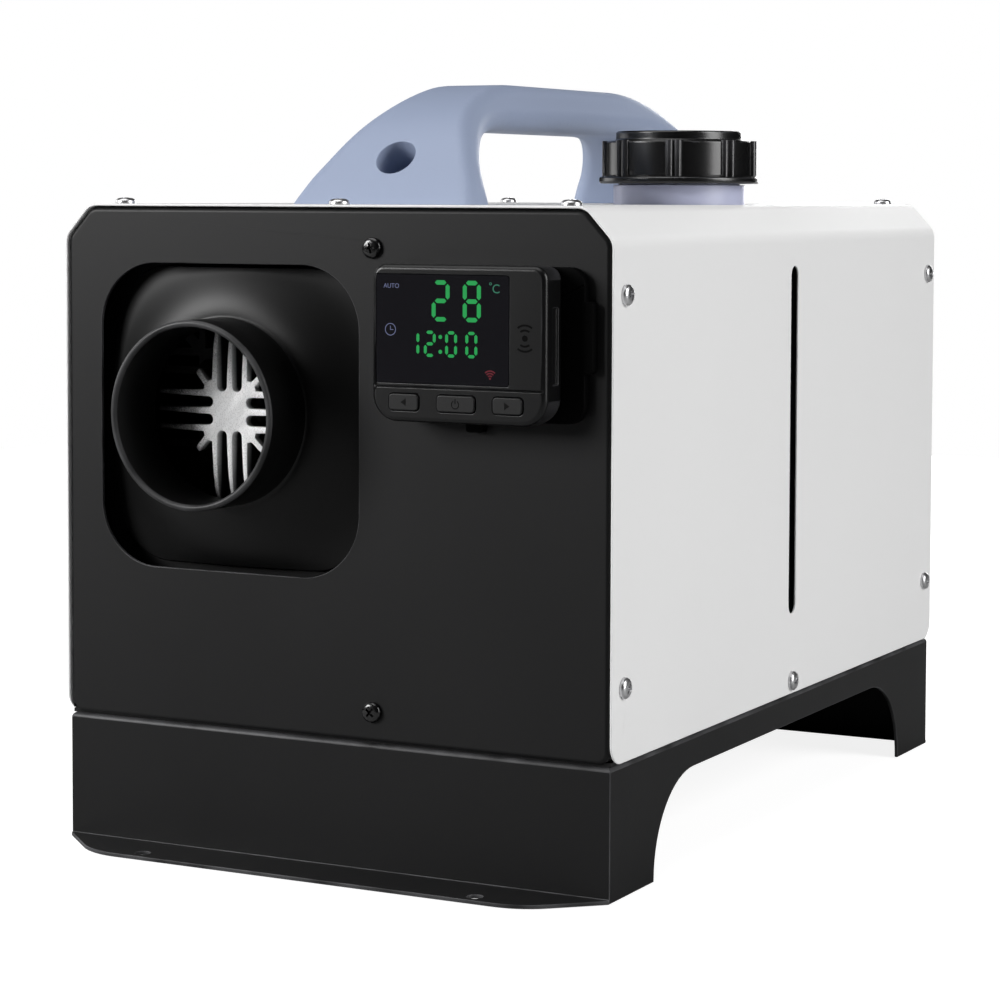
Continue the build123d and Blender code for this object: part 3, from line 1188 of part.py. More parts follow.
def glass_outline(play):
    x = CONTROLLER_X - CONTROLLER_W / 2 + GLASS_LEFT + GLASS_W / 2
    z = CONTROLLER_Z + CONTROLLER_H / 2 - GLASS_TOP - GLASS_H / 2
    return Pos(x, z) * RectangleRounded(GLASS_W + 2 * play, GLASS_H + 2 * play, GLASS_CORNER_R)


def button_outline(name, play):
    across, width = BUTTONS[name]
    x = CONTROLLER_X - CONTROLLER_W / 2 + across
    z = CONTROLLER_Z - CONTROLLER_H / 2 + BUTTON_RISE
    return Pos(x, z) * RectangleRounded(width + 2 * play, BUTTON_H + 2 * play, BUTTON_CORNER_R + play)


def cable_hole(play):
    return Pos(CONTROLLER_X, CONTROLLER_Z) * Circle(GLAND_BORE_R + play)


def make_controller_front():
    case = slab(case_outline(0), CONTROLLER_Y, CASE_BACK_Y)
    rim = case.edges().filter_by(lambda e: e.center().Y < CONTROLLER_Y + 0.01)
    case = fillet(rim, CONTROLLER_ROUND)
    inside_y = CONTROLLER_Y + CASE_WALL + GLASS_T
    case -= slab(case_outline(CASE_WALL), inside_y, CASE_BACK_Y + CUT)
    groove_z = CONTROLLER_Z - CONTROLLER_H / 2 + GROOVE_RISE
    case -= block(CONTROLLER_X - CONTROLLER_W, CONTROLLER_X + CONTROLLER_W, CONTROLLER_Y - CUT,
                  CONTROLLER_Y + GROOVE_DEPTH, groove_z - GROOVE_W / 2, groove_z + GROOVE_W / 2)
    case -= slab(glass_outline(BUTTON_PLAY / 2), CONTROLLER_Y - CUT, CONTROLLER_Y + GLASS_T)
    for name in BUTTONS:
        case -= slab(button_outline(name, BUTTON_PLAY), CONTROLLER_Y - CUT, CASE_BACK_Y)
        case -= slab(button_outline(name, BUTTON_LIP + BUTTON_PLAY), inside_y, CASE_BACK_Y)
    side_x = CONTROLLER_X + CONTROLLER_W / 2
    slot = Pos(CONTROLLER_Y + CASE_SLOT_Y, CONTROLLER_Z) * Rectangle(CASE_SLOT_W, CASE_SLOT_H)
    return case - side_slab(slot, side_x - CASE_SLOT_DEPTH, side_x + CUT)


def make_controller_back():
    back = slab(case_outline(CASE_BACK_INSET), CASE_BACK_Y, HOLDER_Y)
    return back - slab(cable_hole(0), CASE_BACK_Y - CUT, HOLDER_Y + CUT)


def make_controller_holder():
    """The black holder behind the controller, wider than it on the right."""
    half_w = CONTROLLER_W / 2
    half_h = CONTROLLER_H / 2 - HOLDER_TOP_IN
    left = CONTROLLER_X - half_w + HOLDER_LEFT_IN
    right = CONTROLLER_X + half_w + HOLDER_SIDE
    plate = RectangleRounded(right - left, 2 * half_h, HOLDER_CORNER_R)
    plate = Pos((left + right) / 2, CONTROLLER_Z) * plate
    ear = RectangleRounded(2 * HOLDER_EAR, HOLDER_EAR_H, HOLDER_EAR_R)
    ear = Pos(right, CONTROLLER_Z + HOLDER_EAR_RISE) * ear
    clip = RectangleRounded(HOLDER_CLIP_W, HOLDER_CLIP_H, HOLDER_CLIP_R)
    clip = Pos(CONTROLLER_X, CONTROLLER_Z - half_h) * clip
    holder = slab(plate + ear + clip, HOLDER_Y, PANEL_Y)
    return holder - slab(cable_hole(0), HOLDER_Y - CUT, PANEL_Y + CUT)


def make_display_glass():
    return slab(glass_outline(0), CONTROLLER_Y, CONTROLLER_Y + GLASS_T)


def make_button(name):
    button = slab(button_outline(name, 0), CONTROLLER_Y - BUTTON_PROUD, CONTROLLER_Y + BUTTON_L)
    face_edges = button.edges().filter_by(lambda e: e.center().Y < CONTROLLER_Y - BUTTON_PROUD + 0.01)
    button = fillet(face_edges, BUTTON_EDGE_R)
    inside_y = CONTROLLER_Y + CASE_WALL + GLASS_T
    return button + slab(button_outline(name, BUTTON_LIP), inside_y, inside_y + BUTTON_LIP)


def make_controller_board():
    front = CONTROLLER_Y + BUTTON_L + BUTTON_TRAVEL + BOARD_GAP
    board = slab(case_outline(CASE_WALL + BUTTON_PLAY), front, front + BOARD_T)
    back = front + BOARD_T
    for x in (CONTROLLER_X - BOARD_POST_X, CONTROLLER_X + BOARD_POST_X):
        board += rod(BOARD_POST_R, (x, back, CONTROLLER_Z), (0, 1, 0), CASE_BACK_Y - back)
    return board


# ---- the back ------------------------------------------------------------------------
def make_rear_grille():
    y = -PANEL_Y
    bore = GRILLE_R - GRILLE_COLLAR_IN
    grille = round_grille(bore + CUT, GRILLE_RINGS, GRILLE_BAR, GRILLE_T, y, GRILLE_SPOKES)
    grille += tube(GRILLE_R + GRILLE_RIM, bore, (HEATER_X, y, HEATER_Z), (0, 1, 0), GRILLE_T)
    collar_start = (HEATER_X, y - PANEL_T, HEATER_Z)
    return grille + tube(GRILLE_R - GRILLE_PLAY, bore, collar_start, (0, 1, 0), PANEL_T + GRILLE_T)


def make_cable_gland():
    skin = -PANEL_Y
    inside = -PANEL_BACK_Y
    length = PANEL_T + 2 * GLAND_REACH
    gland = rod(GLAND_R, (GLAND_X, inside - GLAND_REACH, GLAND_Z), (0, 1, 0), length)
    hexagon = Pos(GLAND_X, GLAND_Z) * RegularPolygon(GLAND_NUT_R, 6)
    gland += slab(hexagon, skin, skin + GLAND_NUT_T)
    gland += slab(hexagon, inside - GLAND_NUT_T, inside)
    bore_start = (GLAND_X, inside - GLAND_REACH - CUT, GLAND_Z)
    return gland - rod(GLAND_BORE_R, bore_start, (0, 1, 0), length + 2 * CUT)


# ---- fasteners and the list of nodes -------------------------------------------------
def make_cover_screws():
    return Compound([screw(place, facing) for place, facing in cover_screw_places()])


def make_panel_screws(facing):
    places = panel_screw_places(facing)
    return Compound([screw(place, direction, PANEL_SCREW_L) for place, direction in places])


def make_base_screws():
    return Compound([screw(place, facing, BASE_SCREW_L) for place, facing in base_screw_places()])


def make_cradle_screws():
    return Compound([screw(place, (0, 0, 1), CRADLE_SCREW_L) for place in cradle_screw_places()])


def build_all():
    nodes = {
        "top_cover": make_top_cover(),
        "front_panel": make_front_panel(),
        "rear_panel": make_rear_panel(),
        "floor_plate": make_floor_plate(),
        "base_stand": make_base_stand(),
        "partition_plate": make_partition(),
        "outlet_hood": make_outlet_hood(),
        "heater_shell_upper": make_shell(1),
        "heater_shell_lower": make_shell(-1),
        "heat_exchanger": make_heat_exchanger(),
        "combustion_chamber": make_combustion_chamber(),
        "glow_plug": make_glow_plug(),
        "overheat_sensor": make_overheat_sensor(),
        "blower_housing": make_blower_housing(),
        "combustion_impeller": make_impeller(),
        "fan_motor": make_fan_motor(),
        "motor_shaft": make_motor_shaft(),
        "hot_air_fan": make_hot_air_fan(),
        "intake_guard": make_intake_guard(),
        "control_unit": make_control_unit(),
        "mount_gasket": make_mount_gasket(),
        "heater_cradle": make_heater_cradle(),
        "foot_studs": make_foot_studs(),
        "exhaust_pipe": make_pipe(EXHAUST_Y),
        "combustion_air_pipe": make_pipe(INTAKE_Y),
        "pipe_seals": make_pipe_seals(),
        "fuel_tank": make_fuel_tank(),
        "tank_pads": make_tank_pads(),
        "fuel_cap": make_fuel_cap(),
        "cap_gasket": make_cap_gasket(),
        "tank_outlet": make_tank_outlet(),
        "outlet_grommet": make_outlet_grommet(),
        "tank_fuel_line": make_tank_line(),
        "fuel_filter": make_fuel_filter(),
        "filter_fuel_line": make_filter_line(),
        "fuel_pump": make_fuel_pump(),
        "pump_clamp": make_pump_clamp(),
        "burner_fuel_line": make_burner_line(),
        "carry_handle": make_carry_handle(),
        "handle_bolts": make_handle_bolts(),
        "controller_front": make_controller_front(),
        "controller_back": make_controller_back(),
        "controller_holder": make_controller_holder(),
        "controller_board": make_controller_board(),
        "display_glass": make_display_glass(),
        "rear_grille": make_rear_grille(),
        "cable_gland": make_cable_gland(),
        "cover_screws": make_cover_screws(),
        "front_panel_screws": make_panel_screws(-1),
        "rear_panel_screws": make_panel_screws(1),
        "base_screws": make_base_screws(),
        "cradle_screws": make_cradle_screws(),
    }
    for name in BUTTONS:
        nodes[name] = make_button(name)
    return nodes


os.makedirs("parts", exist_ok=True)
for node, shape in build_all().items():
    export_step(shape, "parts/" + node + ".step")
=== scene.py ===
import bpy
import bmesh
import json
import math
from mathutils import Matrix, Vector


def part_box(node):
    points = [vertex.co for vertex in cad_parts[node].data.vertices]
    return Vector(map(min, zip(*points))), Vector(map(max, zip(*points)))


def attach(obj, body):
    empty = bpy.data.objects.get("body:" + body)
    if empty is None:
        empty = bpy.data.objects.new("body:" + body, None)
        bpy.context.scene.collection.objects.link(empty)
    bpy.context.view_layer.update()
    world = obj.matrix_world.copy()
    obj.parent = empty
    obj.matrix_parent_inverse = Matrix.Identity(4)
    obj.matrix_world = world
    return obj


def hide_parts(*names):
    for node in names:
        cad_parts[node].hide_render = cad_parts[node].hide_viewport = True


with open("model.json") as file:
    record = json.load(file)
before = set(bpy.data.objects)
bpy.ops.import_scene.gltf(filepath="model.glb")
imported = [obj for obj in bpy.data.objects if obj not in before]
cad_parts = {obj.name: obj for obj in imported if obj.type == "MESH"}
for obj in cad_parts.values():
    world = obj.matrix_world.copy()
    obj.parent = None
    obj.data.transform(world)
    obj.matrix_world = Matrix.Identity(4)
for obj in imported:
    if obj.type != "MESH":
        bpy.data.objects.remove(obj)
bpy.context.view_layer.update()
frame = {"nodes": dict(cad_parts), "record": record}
nodes = frame["nodes"]
slot_of = {entry["node"]: entry["material_slot"] for entry in frame["record"]["subparts"]}
body_of = {}
for body_name, members in frame["record"]["behaviour"]["bodies"].items():
    for member in members:
        body_of[member] = body_name


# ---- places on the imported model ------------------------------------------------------
# The scene is in metres, with x to the right, y to the back and z up. MM is a millimetre.
MM = 0.001


def middle(node):
    """The middle of a node's box."""
    low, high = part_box(node)
    return (low + high) / 2


# the cover reaches SKIN to each side, and the heater's axis runs from front to back through HEATER
cover_low, cover_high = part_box("top_cover")
SKIN = cover_high.x
FRONT = cover_low.y
REAR = cover_high.y
TOP = cover_high.z
PANEL_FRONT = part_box("front_panel")[0].y
PANEL_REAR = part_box("rear_panel")[1].y
PLATE_T = 0.0015
PLATE_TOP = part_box("floor_plate")[0].z + PLATE_T
HEATER = middle("motor_shaft")
STAR_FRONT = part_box("heat_exchanger")[0].y
CASE_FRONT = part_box("controller_front")[0].y
KEY_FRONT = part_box("button_power")[0].y
WINDOW_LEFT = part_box("display_glass")[0].x
WINDOW_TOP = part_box("display_glass")[1].z


# ---- shader nodes --------------------------------------------------------------------
def new_material(name):
    """A material with its node tree and its shader."""
    mat = bpy.data.materials.new(name)
    mat.use_nodes = True
    return mat, mat.node_tree, mat.node_tree.nodes["Principled BSDF"]


def own_place(tree):
    """A surface point in the object's own frame, in metres."""
    return tree.nodes.new("ShaderNodeTexCoord").outputs["Object"]


def noise(tree, scale, detail=2.0):
    """A cloudy value round 0.5 that varies over the object's own frame."""
    made = tree.nodes.new("ShaderNodeTexNoise")
    made.inputs["Scale"].default_value = scale
    made.inputs["Detail"].default_value = detail
    tree.links.new(own_place(tree), made.inputs["Vector"])
    return made.outputs["Fac"]


def remap(tree, value, given=(0.0, 1.0), wanted=(0.0, 1.0)):
    """A value taken from the given range to the wanted range, and held inside it."""
    made = tree.nodes.new("ShaderNodeMapRange")
    for side, ends in (("From", given), ("To", wanted)):
        made.inputs[side + " Min"].default_value = ends[0]
        made.inputs[side + " Max"].default_value = ends[1]
    tree.links.new(value, made.inputs["Value"])
    return made.outputs["Result"]


def combine(tree, operation, first, second):
    """Two values added or multiplied, and held between 0 and 1."""
    made = tree.nodes.new("ShaderNodeMath")
    made.operation = operation
    made.use_clamp = True
    tree.links.new(first, made.inputs[0])
    tree.links.new(second, made.inputs[1])
    return made.outputs["Value"]


def blend(tree, factor, under, over):
    """The colour under, a tuple or a socket, going over to the colour over as the factor rises to 1."""
    made = tree.nodes.new("ShaderNodeMix")
    made.data_type = "RGBA"
    if isinstance(under, tuple):
        made.inputs["A"].default_value = (*under, 1)
    else:
        tree.links.new(under, made.inputs["A"])
    made.inputs["B"].default_value = (*over, 1)
    tree.links.new(factor, made.inputs["Factor"])
    return made.outputs["Result"]


# ---- materials -----------------------------------------------------------------------
TINT_SHARE = 0.72
CLOUD_RANGE = (0.3, 0.7)
EDGE_PATCH_SCALE = 60.0
EDGE_PATCH_RANGE = (0.25, 0.6)
GRAIN_STRENGTH = 0.6
SHADOW_GRIT_SCALE = 2600.0
SHADOW_GRIT_RANGE = (0.35, 0.65)
SHADOW_SPECKLE = 0.3
UNLIT_SHARE = 0.1
GLOW_SPECULAR = 0.2
GLOW_RANGE = (0.9, 1.1)
GLOW_GRAIN_SCALE = 300.0


def surface(name, color, rough=0.4, metallic=0.0, tint=None, blotch=6.0, spread=0.25, rough_spread=0.08,
            grain=900.0, grain_depth=0.00004, wear_and_highlight=None, wear_and_highlight_amount=0.25, specular=0.5, painted_shade=None):
    """A painted, moulded or metal surface.

    The colour goes over to tint by spread, in clouds of scale blotch, and the roughness varies with them.
    The grain is a fine relief of that scale, grain_depth metres deep. Faces marked on their edges go over
    to the edge colour in patches, which paints both edge wear and a highlight on the edges. The painted
    shade, given as an axis, the two places on it in metres where it starts and is full, and its colour,
    darkens the surface along that axis.
    """
    mat, tree, shader = new_material(name)
    cloud = noise(tree, blotch, detail=3.0)
    shade = blend(tree, remap(tree, cloud, CLOUD_RANGE, (0.0, spread)), color,
                  tint or tuple(c * TINT_SHARE for c in color))
    if wear_and_highlight:
        edge = tree.nodes.new("ShaderNodeAttribute")
        edge.attribute_name = "edge_wear_and_highlight"
        worn_and_lit = remap(tree, edge.outputs["Fac"], wanted=(0.0, wear_and_highlight_amount))
        patches = remap(tree, noise(tree, EDGE_PATCH_SCALE), EDGE_PATCH_RANGE)
        shade = blend(tree, combine(tree, "MULTIPLY", worn_and_lit, patches), shade, wear_and_highlight)
    if painted_shade:
        axis, start, full, shade_color = painted_shade
        parts = tree.nodes.new("ShaderNodeSeparateXYZ")
        tree.links.new(own_place(tree), parts.inputs["Vector"])
        shade = blend(tree, remap(tree, parts.outputs[axis], (start, full)), shade, shade_color)
    bump = tree.nodes.new("ShaderNodeBump")
    bump.inputs["Strength"].default_value = GRAIN_STRENGTH
    bump.inputs["Distance"].default_value = grain_depth
    tree.links.new(noise(tree, grain), bump.inputs["Height"])
    gloss = remap(tree, cloud, wanted=(max(0.0, rough - rough_spread), rough + rough_spread))
    shader.inputs["Metallic"].default_value = metallic
    shader.inputs["Specular IOR Level"].default_value = specular
    tree.links.new(shade, shader.inputs["Base Color"])
    tree.links.new(gloss, shader.inputs["Roughness"])
    tree.links.new(bump.outputs["Normal"], shader.inputs["Normal"])
    return mat


def painted_shadow(mat, center, stretch, clear, full, color):
    """Paint a shadow on a surface: darken it from clear to full metres away from a center, with a speckled
    border.

    The distance is taken along x, y and z times stretch.
    """
    tree = mat.node_tree
    base = tree.nodes["Principled BSDF"].inputs["Base Color"]
    unshaded = base.links[0].from_socket
    away = own_place(tree)
    for operation, amount in (("SUBTRACT", center), ("MULTIPLY", stretch)):
        moved = tree.nodes.new("ShaderNodeVectorMath")
        moved.operation = operation
        moved.inputs[1].default_value = amount
        tree.links.new(away, moved.inputs[0])
        away = moved.outputs["Vector"]
    length = tree.nodes.new("ShaderNodeVectorMath")
    length.operation = "LENGTH"
    tree.links.new(away, length.inputs[0])
    grade = remap(tree, length.outputs["Value"], (clear, full))
    grit = noise(tree, SHADOW_GRIT_SCALE)
    spots = remap(tree, grit, SHADOW_GRIT_RANGE, (-SHADOW_SPECKLE, SHADOW_SPECKLE))
    tree.links.new(blend(tree, combine(tree, "ADD", grade, spots), unshaded, color), base)


def glow(name, color):
    """A lit segment: its colour on the shader, its brightness varied a little by a noise node."""
    mat, tree, shader = new_material(name)
    shader.inputs["Base Color"].default_value = (*[c * UNLIT_SHARE for c in color], 1)
    shader.inputs["Specular IOR Level"].default_value = GLOW_SPECULAR
    shader.inputs["Emission Color"].default_value = (*color, 1)
    brightness = remap(tree, noise(tree, GLOW_GRAIN_SCALE), wanted=GLOW_RANGE)
    tree.links.new(brightness, shader.inputs["Emission Strength"])
    return mat


# the sheet metal box and its stand
WHITE = surface("white powder coat", (0.74, 0.74, 0.74), 0.42, tint=(0.70, 0.70, 0.70), spread=0.5,
                grain=420.0, grain_depth=0.00005, wear_and_highlight=(0.86, 0.86, 0.86), wear_and_highlight_amount=0.4, specular=0.22)
BLACK = surface("black powder coat", (0.0038, 0.0038, 0.0041), 0.44, tint=(0.0050, 0.0050, 0.0053),
                spread=0.6, grain=520.0, grain_depth=0.00003, wear_and_highlight=(0.10, 0.10, 0.105), wear_and_highlight_amount=0.55,
                specular=0.22)
ZINC = surface("zinc plated sheet", (0.55, 0.56, 0.57), 0.36, metallic=0.9, blotch=40.0, spread=0.5,
               grain=300.0)

# the heater; painted shade darkens its castings and the star's face with depth behind the star's front
CAST = surface("cast aluminium", (0.84, 0.84, 0.85), 0.46, metallic=0.1, tint=(0.74, 0.74, 0.75),
               blotch=55.0, spread=0.6, rough_spread=0.1, grain=1500.0, grain_depth=0.00012,
               wear_and_highlight=(0.92, 0.92, 0.93), wear_and_highlight_amount=0.8,
               painted_shade=("Y", STAR_FRONT + 0.0008, STAR_FRONT + 0.0055, (0.008, 0.008, 0.009)))
STAR = surface("milled cast face", (1.0, 1.0, 1.0), 0.5, tint=(0.95, 0.95, 0.96), blotch=160.0, spread=0.6,
               rough_spread=0.1, grain=2200.0, grain_depth=0.00010,
               painted_shade=("Y", STAR_FRONT + 0.0006, STAR_FRONT + 0.0038, (0.006, 0.006, 0.006)))
# the star is painted darker further out from a point a little to the right of the axis: a painted shadow of
# the spigot's rim, heavier on the left
LIT_MIDDLE = (HEATER.x + 0.010, STAR_FRONT, HEATER.z - 0.002)
painted_shadow(STAR, LIT_MIDDLE, stretch=(1.3, 0.0, 0.8), clear=0.024, full=0.047, color=(0.008, 0.008, 0.009))
# the hood's lighter edge colour paints the highlight on the front of the spigot's lip
HOOD = surface("heat resistant nylon", (0.0012, 0.0012, 0.0013), 0.42, tint=(0.0020, 0.0020, 0.0020),
               spread=0.5, grain=1400.0, grain_depth=0.00002, wear_and_highlight=(0.045, 0.045, 0.047), wear_and_highlight_amount=0.9,
               specular=0.22)
SHELL = surface("filled nylon shell", (0.02, 0.02, 0.021), 0.5, grain=800.0, wear_and_highlight=(0.08, 0.08, 0.08))
STEEL = surface("plain steel", (0.50, 0.50, 0.51), 0.34, metallic=1.0, tint=(0.36, 0.36, 0.37), blotch=80.0,
                spread=0.6, grain=1200.0, wear_and_highlight=(0.7, 0.7, 0.7))
BOARD = surface("circuit board", (0.02, 0.12, 0.05), 0.4, tint=(0.015, 0.08, 0.035), blotch=150.0,
                grain=1200.0)

# the tank and its fuel line
CAP_PLASTIC = surface("glossy black cap", (0.0030, 0.0030, 0.0032), 0.27, tint=(0.0042, 0.0042, 0.0044),
                      spread=0.6, grain=700.0, grain_depth=0.00001, wear_and_highlight=(0.05, 0.05, 0.055),
                      wear_and_highlight_amount=0.6, specular=0.55)
# painted shade: the tank goes dark below the cover's top, where it shows inside the box through the cover's
# slots
TANK = surface("natural tank plastic", (0.45, 0.47, 0.62), 0.42, tint=(0.41, 0.43, 0.57), spread=0.4,
               grain=200.0, grain_depth=0.00006,
               painted_shade=("Z", TOP - 0.0015, TOP - 0.0055, (0.035, 0.037, 0.04)))
RUBBER = surface("black rubber", (0.014, 0.014, 0.0145), 0.72, grain=900.0, grain_depth=0.00006,
                 wear_and_highlight=(0.06, 0.06, 0.06), specular=0.3)
HOSE = surface("fuel hose", (0.03, 0.035, 0.032), 0.5, grain=900.0, wear_and_highlight=(0.08, 0.08, 0.08))
FILTER = surface("clear filter body", (0.72, 0.66, 0.42), 0.28, tint=(0.62, 0.55, 0.33), grain=500.0)

# the handle and the controller
HANDLE = surface("blue grey handle", (0.254, 0.299, 0.408), 0.46, tint=(0.224, 0.264, 0.370), spread=0.5,
                 grain=1100.0, grain_depth=0.00004, specular=0.3)
CASE = surface("controller case", (0.0020, 0.0020, 0.0022), 0.30, tint=(0.0028, 0.0028, 0.0030), spread=0.5,
               grain=1800.0, grain_depth=0.00002, wear_and_highlight=(0.030, 0.030, 0.032), wear_and_highlight_amount=0.7,
               specular=0.30)
HOLDER = surface("holder plastic", (0.0008, 0.0008, 0.0009), 0.6, tint=(0.0015, 0.0015, 0.0015),
                 spread=0.5, grain=1800.0, grain_depth=0.00002, specular=0.03)
RUBBER_KEY = surface("button rubber", (0.0030, 0.0030, 0.0032), 0.42, tint=(0.004, 0.004, 0.0042),
                     grain=1600.0, grain_depth=0.00002, wear_and_highlight=(0.024, 0.024, 0.026), wear_and_highlight_amount=0.6,
                     specular=0.3)
GLASS = surface("display window", (0.0078, 0.0075, 0.0092), 0.12, tint=(0.0092, 0.0089, 0.0110), spread=0.5,
                rough_spread=0.03, grain=120.0, grain_depth=0.00001, specular=0.35)
PRINT = surface("printed symbol", (0.0010, 0.0010, 0.0010), 0.5, grain=1500.0, grain_depth=0.00001,
                specular=0.04)
KEY_PRINT = surface("key symbol", (0.0015, 0.0015, 0.0015), 0.5, grain=1500.0, grain_depth=0.00001,
                    specular=0.08)
DIGIT = glow("green segments", (0.004, 0.285, 0.058))
UNIT = glow("teal segments", (0.018, 0.135, 0.080))
BLUE = glow("blue segments", (0.105, 0.120, 0.220))
RED = glow("red segments", (0.095, 0.002, 0.009))

# the screws
STEEL_SCREW = surface("zinc screw", (0.64, 0.64, 0.65), 0.32, metallic=1.0, tint=(0.54, 0.54, 0.55),
                      blotch=200.0, spread=0.5, rough_spread=0.05, grain=2500.0, grain_depth=0.00001,
                      wear_and_highlight=(0.85, 0.85, 0.85))
BLACK_SCREW = surface("black screw", (0.0030, 0.0030, 0.0032), 0.20, blotch=300.0, spread=0.5, grain=2500.0,
                      wear_and_highlight=(0.03, 0.03, 0.03), wear_and_highlight_amount=0.6, specular=0.6)

SLOT_LOOK = {
    "white_paint": WHITE, "black_paint": BLACK, "zinc_sheet": ZINC, "cast_alloy": CAST,
    "hood_plastic": HOOD, "shell_plastic": SHELL, "cap_plastic": CAP_PLASTIC, "handle_plastic": HANDLE,
    "tank_plastic": TANK, "case_plastic": CASE, "button_rubber": RUBBER_KEY, "display": GLASS,
    "screw_steel": STEEL_SCREW, "black_screw": BLACK_SCREW, "steel": STEEL, "rubber": RUBBER,
    "fuel_hose": HOSE, "filter_plastic": FILTER, "circuit_board": BOARD}

# each node gets the look of its slot, except the floor plate, which gets the black look as painted shade
# where it shows in the seam under the front panel
for node_name, obj in nodes.items():
    look = BLACK if node_name == "floor_plate" else SLOT_LOOK[slot_of[node_name]]
    if not obj.material_slots:
        obj.data.materials.append(look)
    for slot in obj.material_slots:
        slot.material = look


# ---- meshes and pieces ---------------------------------------------------------------
# angles are in degrees, NARROW_FACE is twice a face's area over its perimeter in millimetres
WELD = 1e-6
FLAT_ANGLE = 0.5
BEVEL_ANGLE = 35
CREASE_ANGLE = 46
NORMAL_WEIGHT = 95
NARROW_FACE = 1.0
MARKED_BEND = 12
LEVEL_BEND = 3


def new_object(name, data):
    """An object of the scene with the given data."""
    obj = bpy.data.objects.new(name, data)
    bpy.context.scene.collection.objects.link(obj)
    return obj


def add_piece(name, mesh, body, look, replaced=None):
    """A piece of the visual model, which rides on a body and may stand for a node."""
    obj = new_object(name, mesh)
    mesh.materials.clear()
    mesh.materials.append(look)
    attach(obj, body)
    if replaced:
        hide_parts(replaced)
    return obj


def mesh_from(bm, name):
    """A mesh with what bm holds, and bm is freed."""
    mesh = bpy.data.meshes.new(name)
    bm.to_mesh(mesh)
    bm.free()
    return mesh


def closed_mesh(bm, name):
    """A mesh with what bm holds, its faces turned outward."""
    bmesh.ops.recalc_face_normals(bm, faces=bm.faces)
    return mesh_from(bm, name)


def shade_smooth(mesh, crease):
    """Shade a mesh smooth, except across edges that bend by more than crease degrees."""
    for face in mesh.polygons:
        face.use_smooth = True
    mesh.set_sharp_from_angle(angle=math.radians(crease))


def band(bm, first, second):
    """Join two closed rings of equally many points by a band of faces. A ring of one point is a tip."""
    count = max(len(first), len(second))
    for step in range(count):
        after = (step + 1) % count
        if len(first) == 1:
            bm.faces.new((first[0], second[after], second[step]))
        elif len(second) == 1:
            bm.faces.new((first[step], first[after], second[0]))
        else:
            bm.faces.new((first[step], second[step], second[after], first[after]))


def bake(obj):
    """Give an object the mesh that its modifiers make."""
    graph = bpy.context.evaluated_depsgraph_get()
    mesh = bpy.data.meshes.new_from_object(obj.evaluated_get(graph))
    old = obj.data
    obj.modifiers.clear()
    obj.data = mesh
    bpy.data.meshes.remove(old)


def round_edges(obj, width, segments, angle=BEVEL_ANGLE, clamp=False):
    """Round the edges that bend by more than angle degrees, width millimetres wide."""
    mod = obj.modifiers.new("round", "BEVEL")
    mod.width = width * MM
    mod.segments = segments
    mod.limit_method = "ANGLE"
    mod.angle_limit = math.radians(angle)
    mod.use_clamp_overlap = clamp
    mod.miter_outer = "MITER_SHARP" if clamp else "MITER_ARC"
    bake(obj)


def set_wear_and_highlight(mesh, marks):
    """Keep one value per face, for edge wear and a painted highlight, in the face attribute that the
    materials read.
    """
    layer = mesh.attributes.new("edge_wear_and_highlight", "FLOAT", "FACE")
    layer.data.foreach_set("value", marks)


def mark_edges(mesh):
    """Mark each narrow face beside an outward bend for edge wear and a painted highlight."""
    bm = bmesh.new()
    bm.from_mesh(mesh)
    narrow = [2 * face.calc_area() < NARROW_FACE * MM * face.calc_perimeter() for face in bm.faces]
    bm.faces.index_update()
    marks = []
    for face in bm.faces:
        turned = False
        level = False
        for edge in face.edges:
            if not edge.is_manifold:
                continue
            turn = math.degrees(edge.calc_face_angle(0))
            turned = turned or (edge.is_convex and turn > MARKED_BEND)
            slim = all(narrow[beside.index] for beside in edge.link_faces)
            level = level or (turn < LEVEL_BEND and not slim)
        marks.append(1.0 if narrow[face.index] and turned and not level else 0.0)
    bm.free()
    set_wear_and_highlight(mesh, marks)


def dress(node, bevel=0.3, segments=2, look=None, clamp=False):
    """A node's own shape again, with its sharp edges rounded by bevel millimetres and smooth shading."""
    mesh = nodes[node].data.copy()
    for old in ("custom_normal", "sharp_edge", "sharp_face"):
        if old in mesh.attributes:
            mesh.attributes.remove(mesh.attributes[old])
    bm = bmesh.new()
    bm.from_mesh(mesh)
    bmesh.ops.remove_doubles(bm, verts=bm.verts, dist=WELD)
    bmesh.ops.dissolve_limit(bm, angle_limit=math.radians(FLAT_ANGLE), verts=bm.verts, edges=bm.edges)
    for face in bm.faces:
        face.smooth = True
    bm.to_mesh(mesh)
    bm.free()
    obj = new_object(node + "_look", mesh)
    if bevel:
        round_edges(obj, bevel, segments, clamp=clamp)
    obj.data.set_sharp_from_angle(angle=math.radians(CREASE_ANGLE))
    normals = obj.modifiers.new("normals", "WEIGHTED_NORMAL")
    normals.keep_sharp = True
    normals.weight = NORMAL_WEIGHT
    bake(obj)
    mark_edges(obj.data)
    obj.data.materials.clear()
    obj.data.materials.append(look or SLOT_LOOK[slot_of[node]])
    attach(obj, body_of[node])
    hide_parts(node)
    return obj


for node in ("top_cover", "front_panel", "rear_panel", "base_stand", "carry_handle", "controller_back",
             "rear_grille", "fuel_tank", "button_left", "button_power", "button_right"):
    dress(node)
dress("controller_front", bevel=0.4, segments=3)
dress("fuel_cap", bevel=0.25, clamp=True)
dress("controller_holder", look=HOLDER)


# ---- the outlet hood, in millimetres -------------------------------------------------
# the rounded square that the panel's opening leaves round the dome; its middle is below the heater's axis
OPENING_HALF_W = 58.5
OPENING_HALF_H = 59.5
OPENING_CORNER_R = 25.0
AXIS_ABOVE_OPENING = 2.6
REACH_LIMIT = 150.0
REACH_HALVINGS = 40
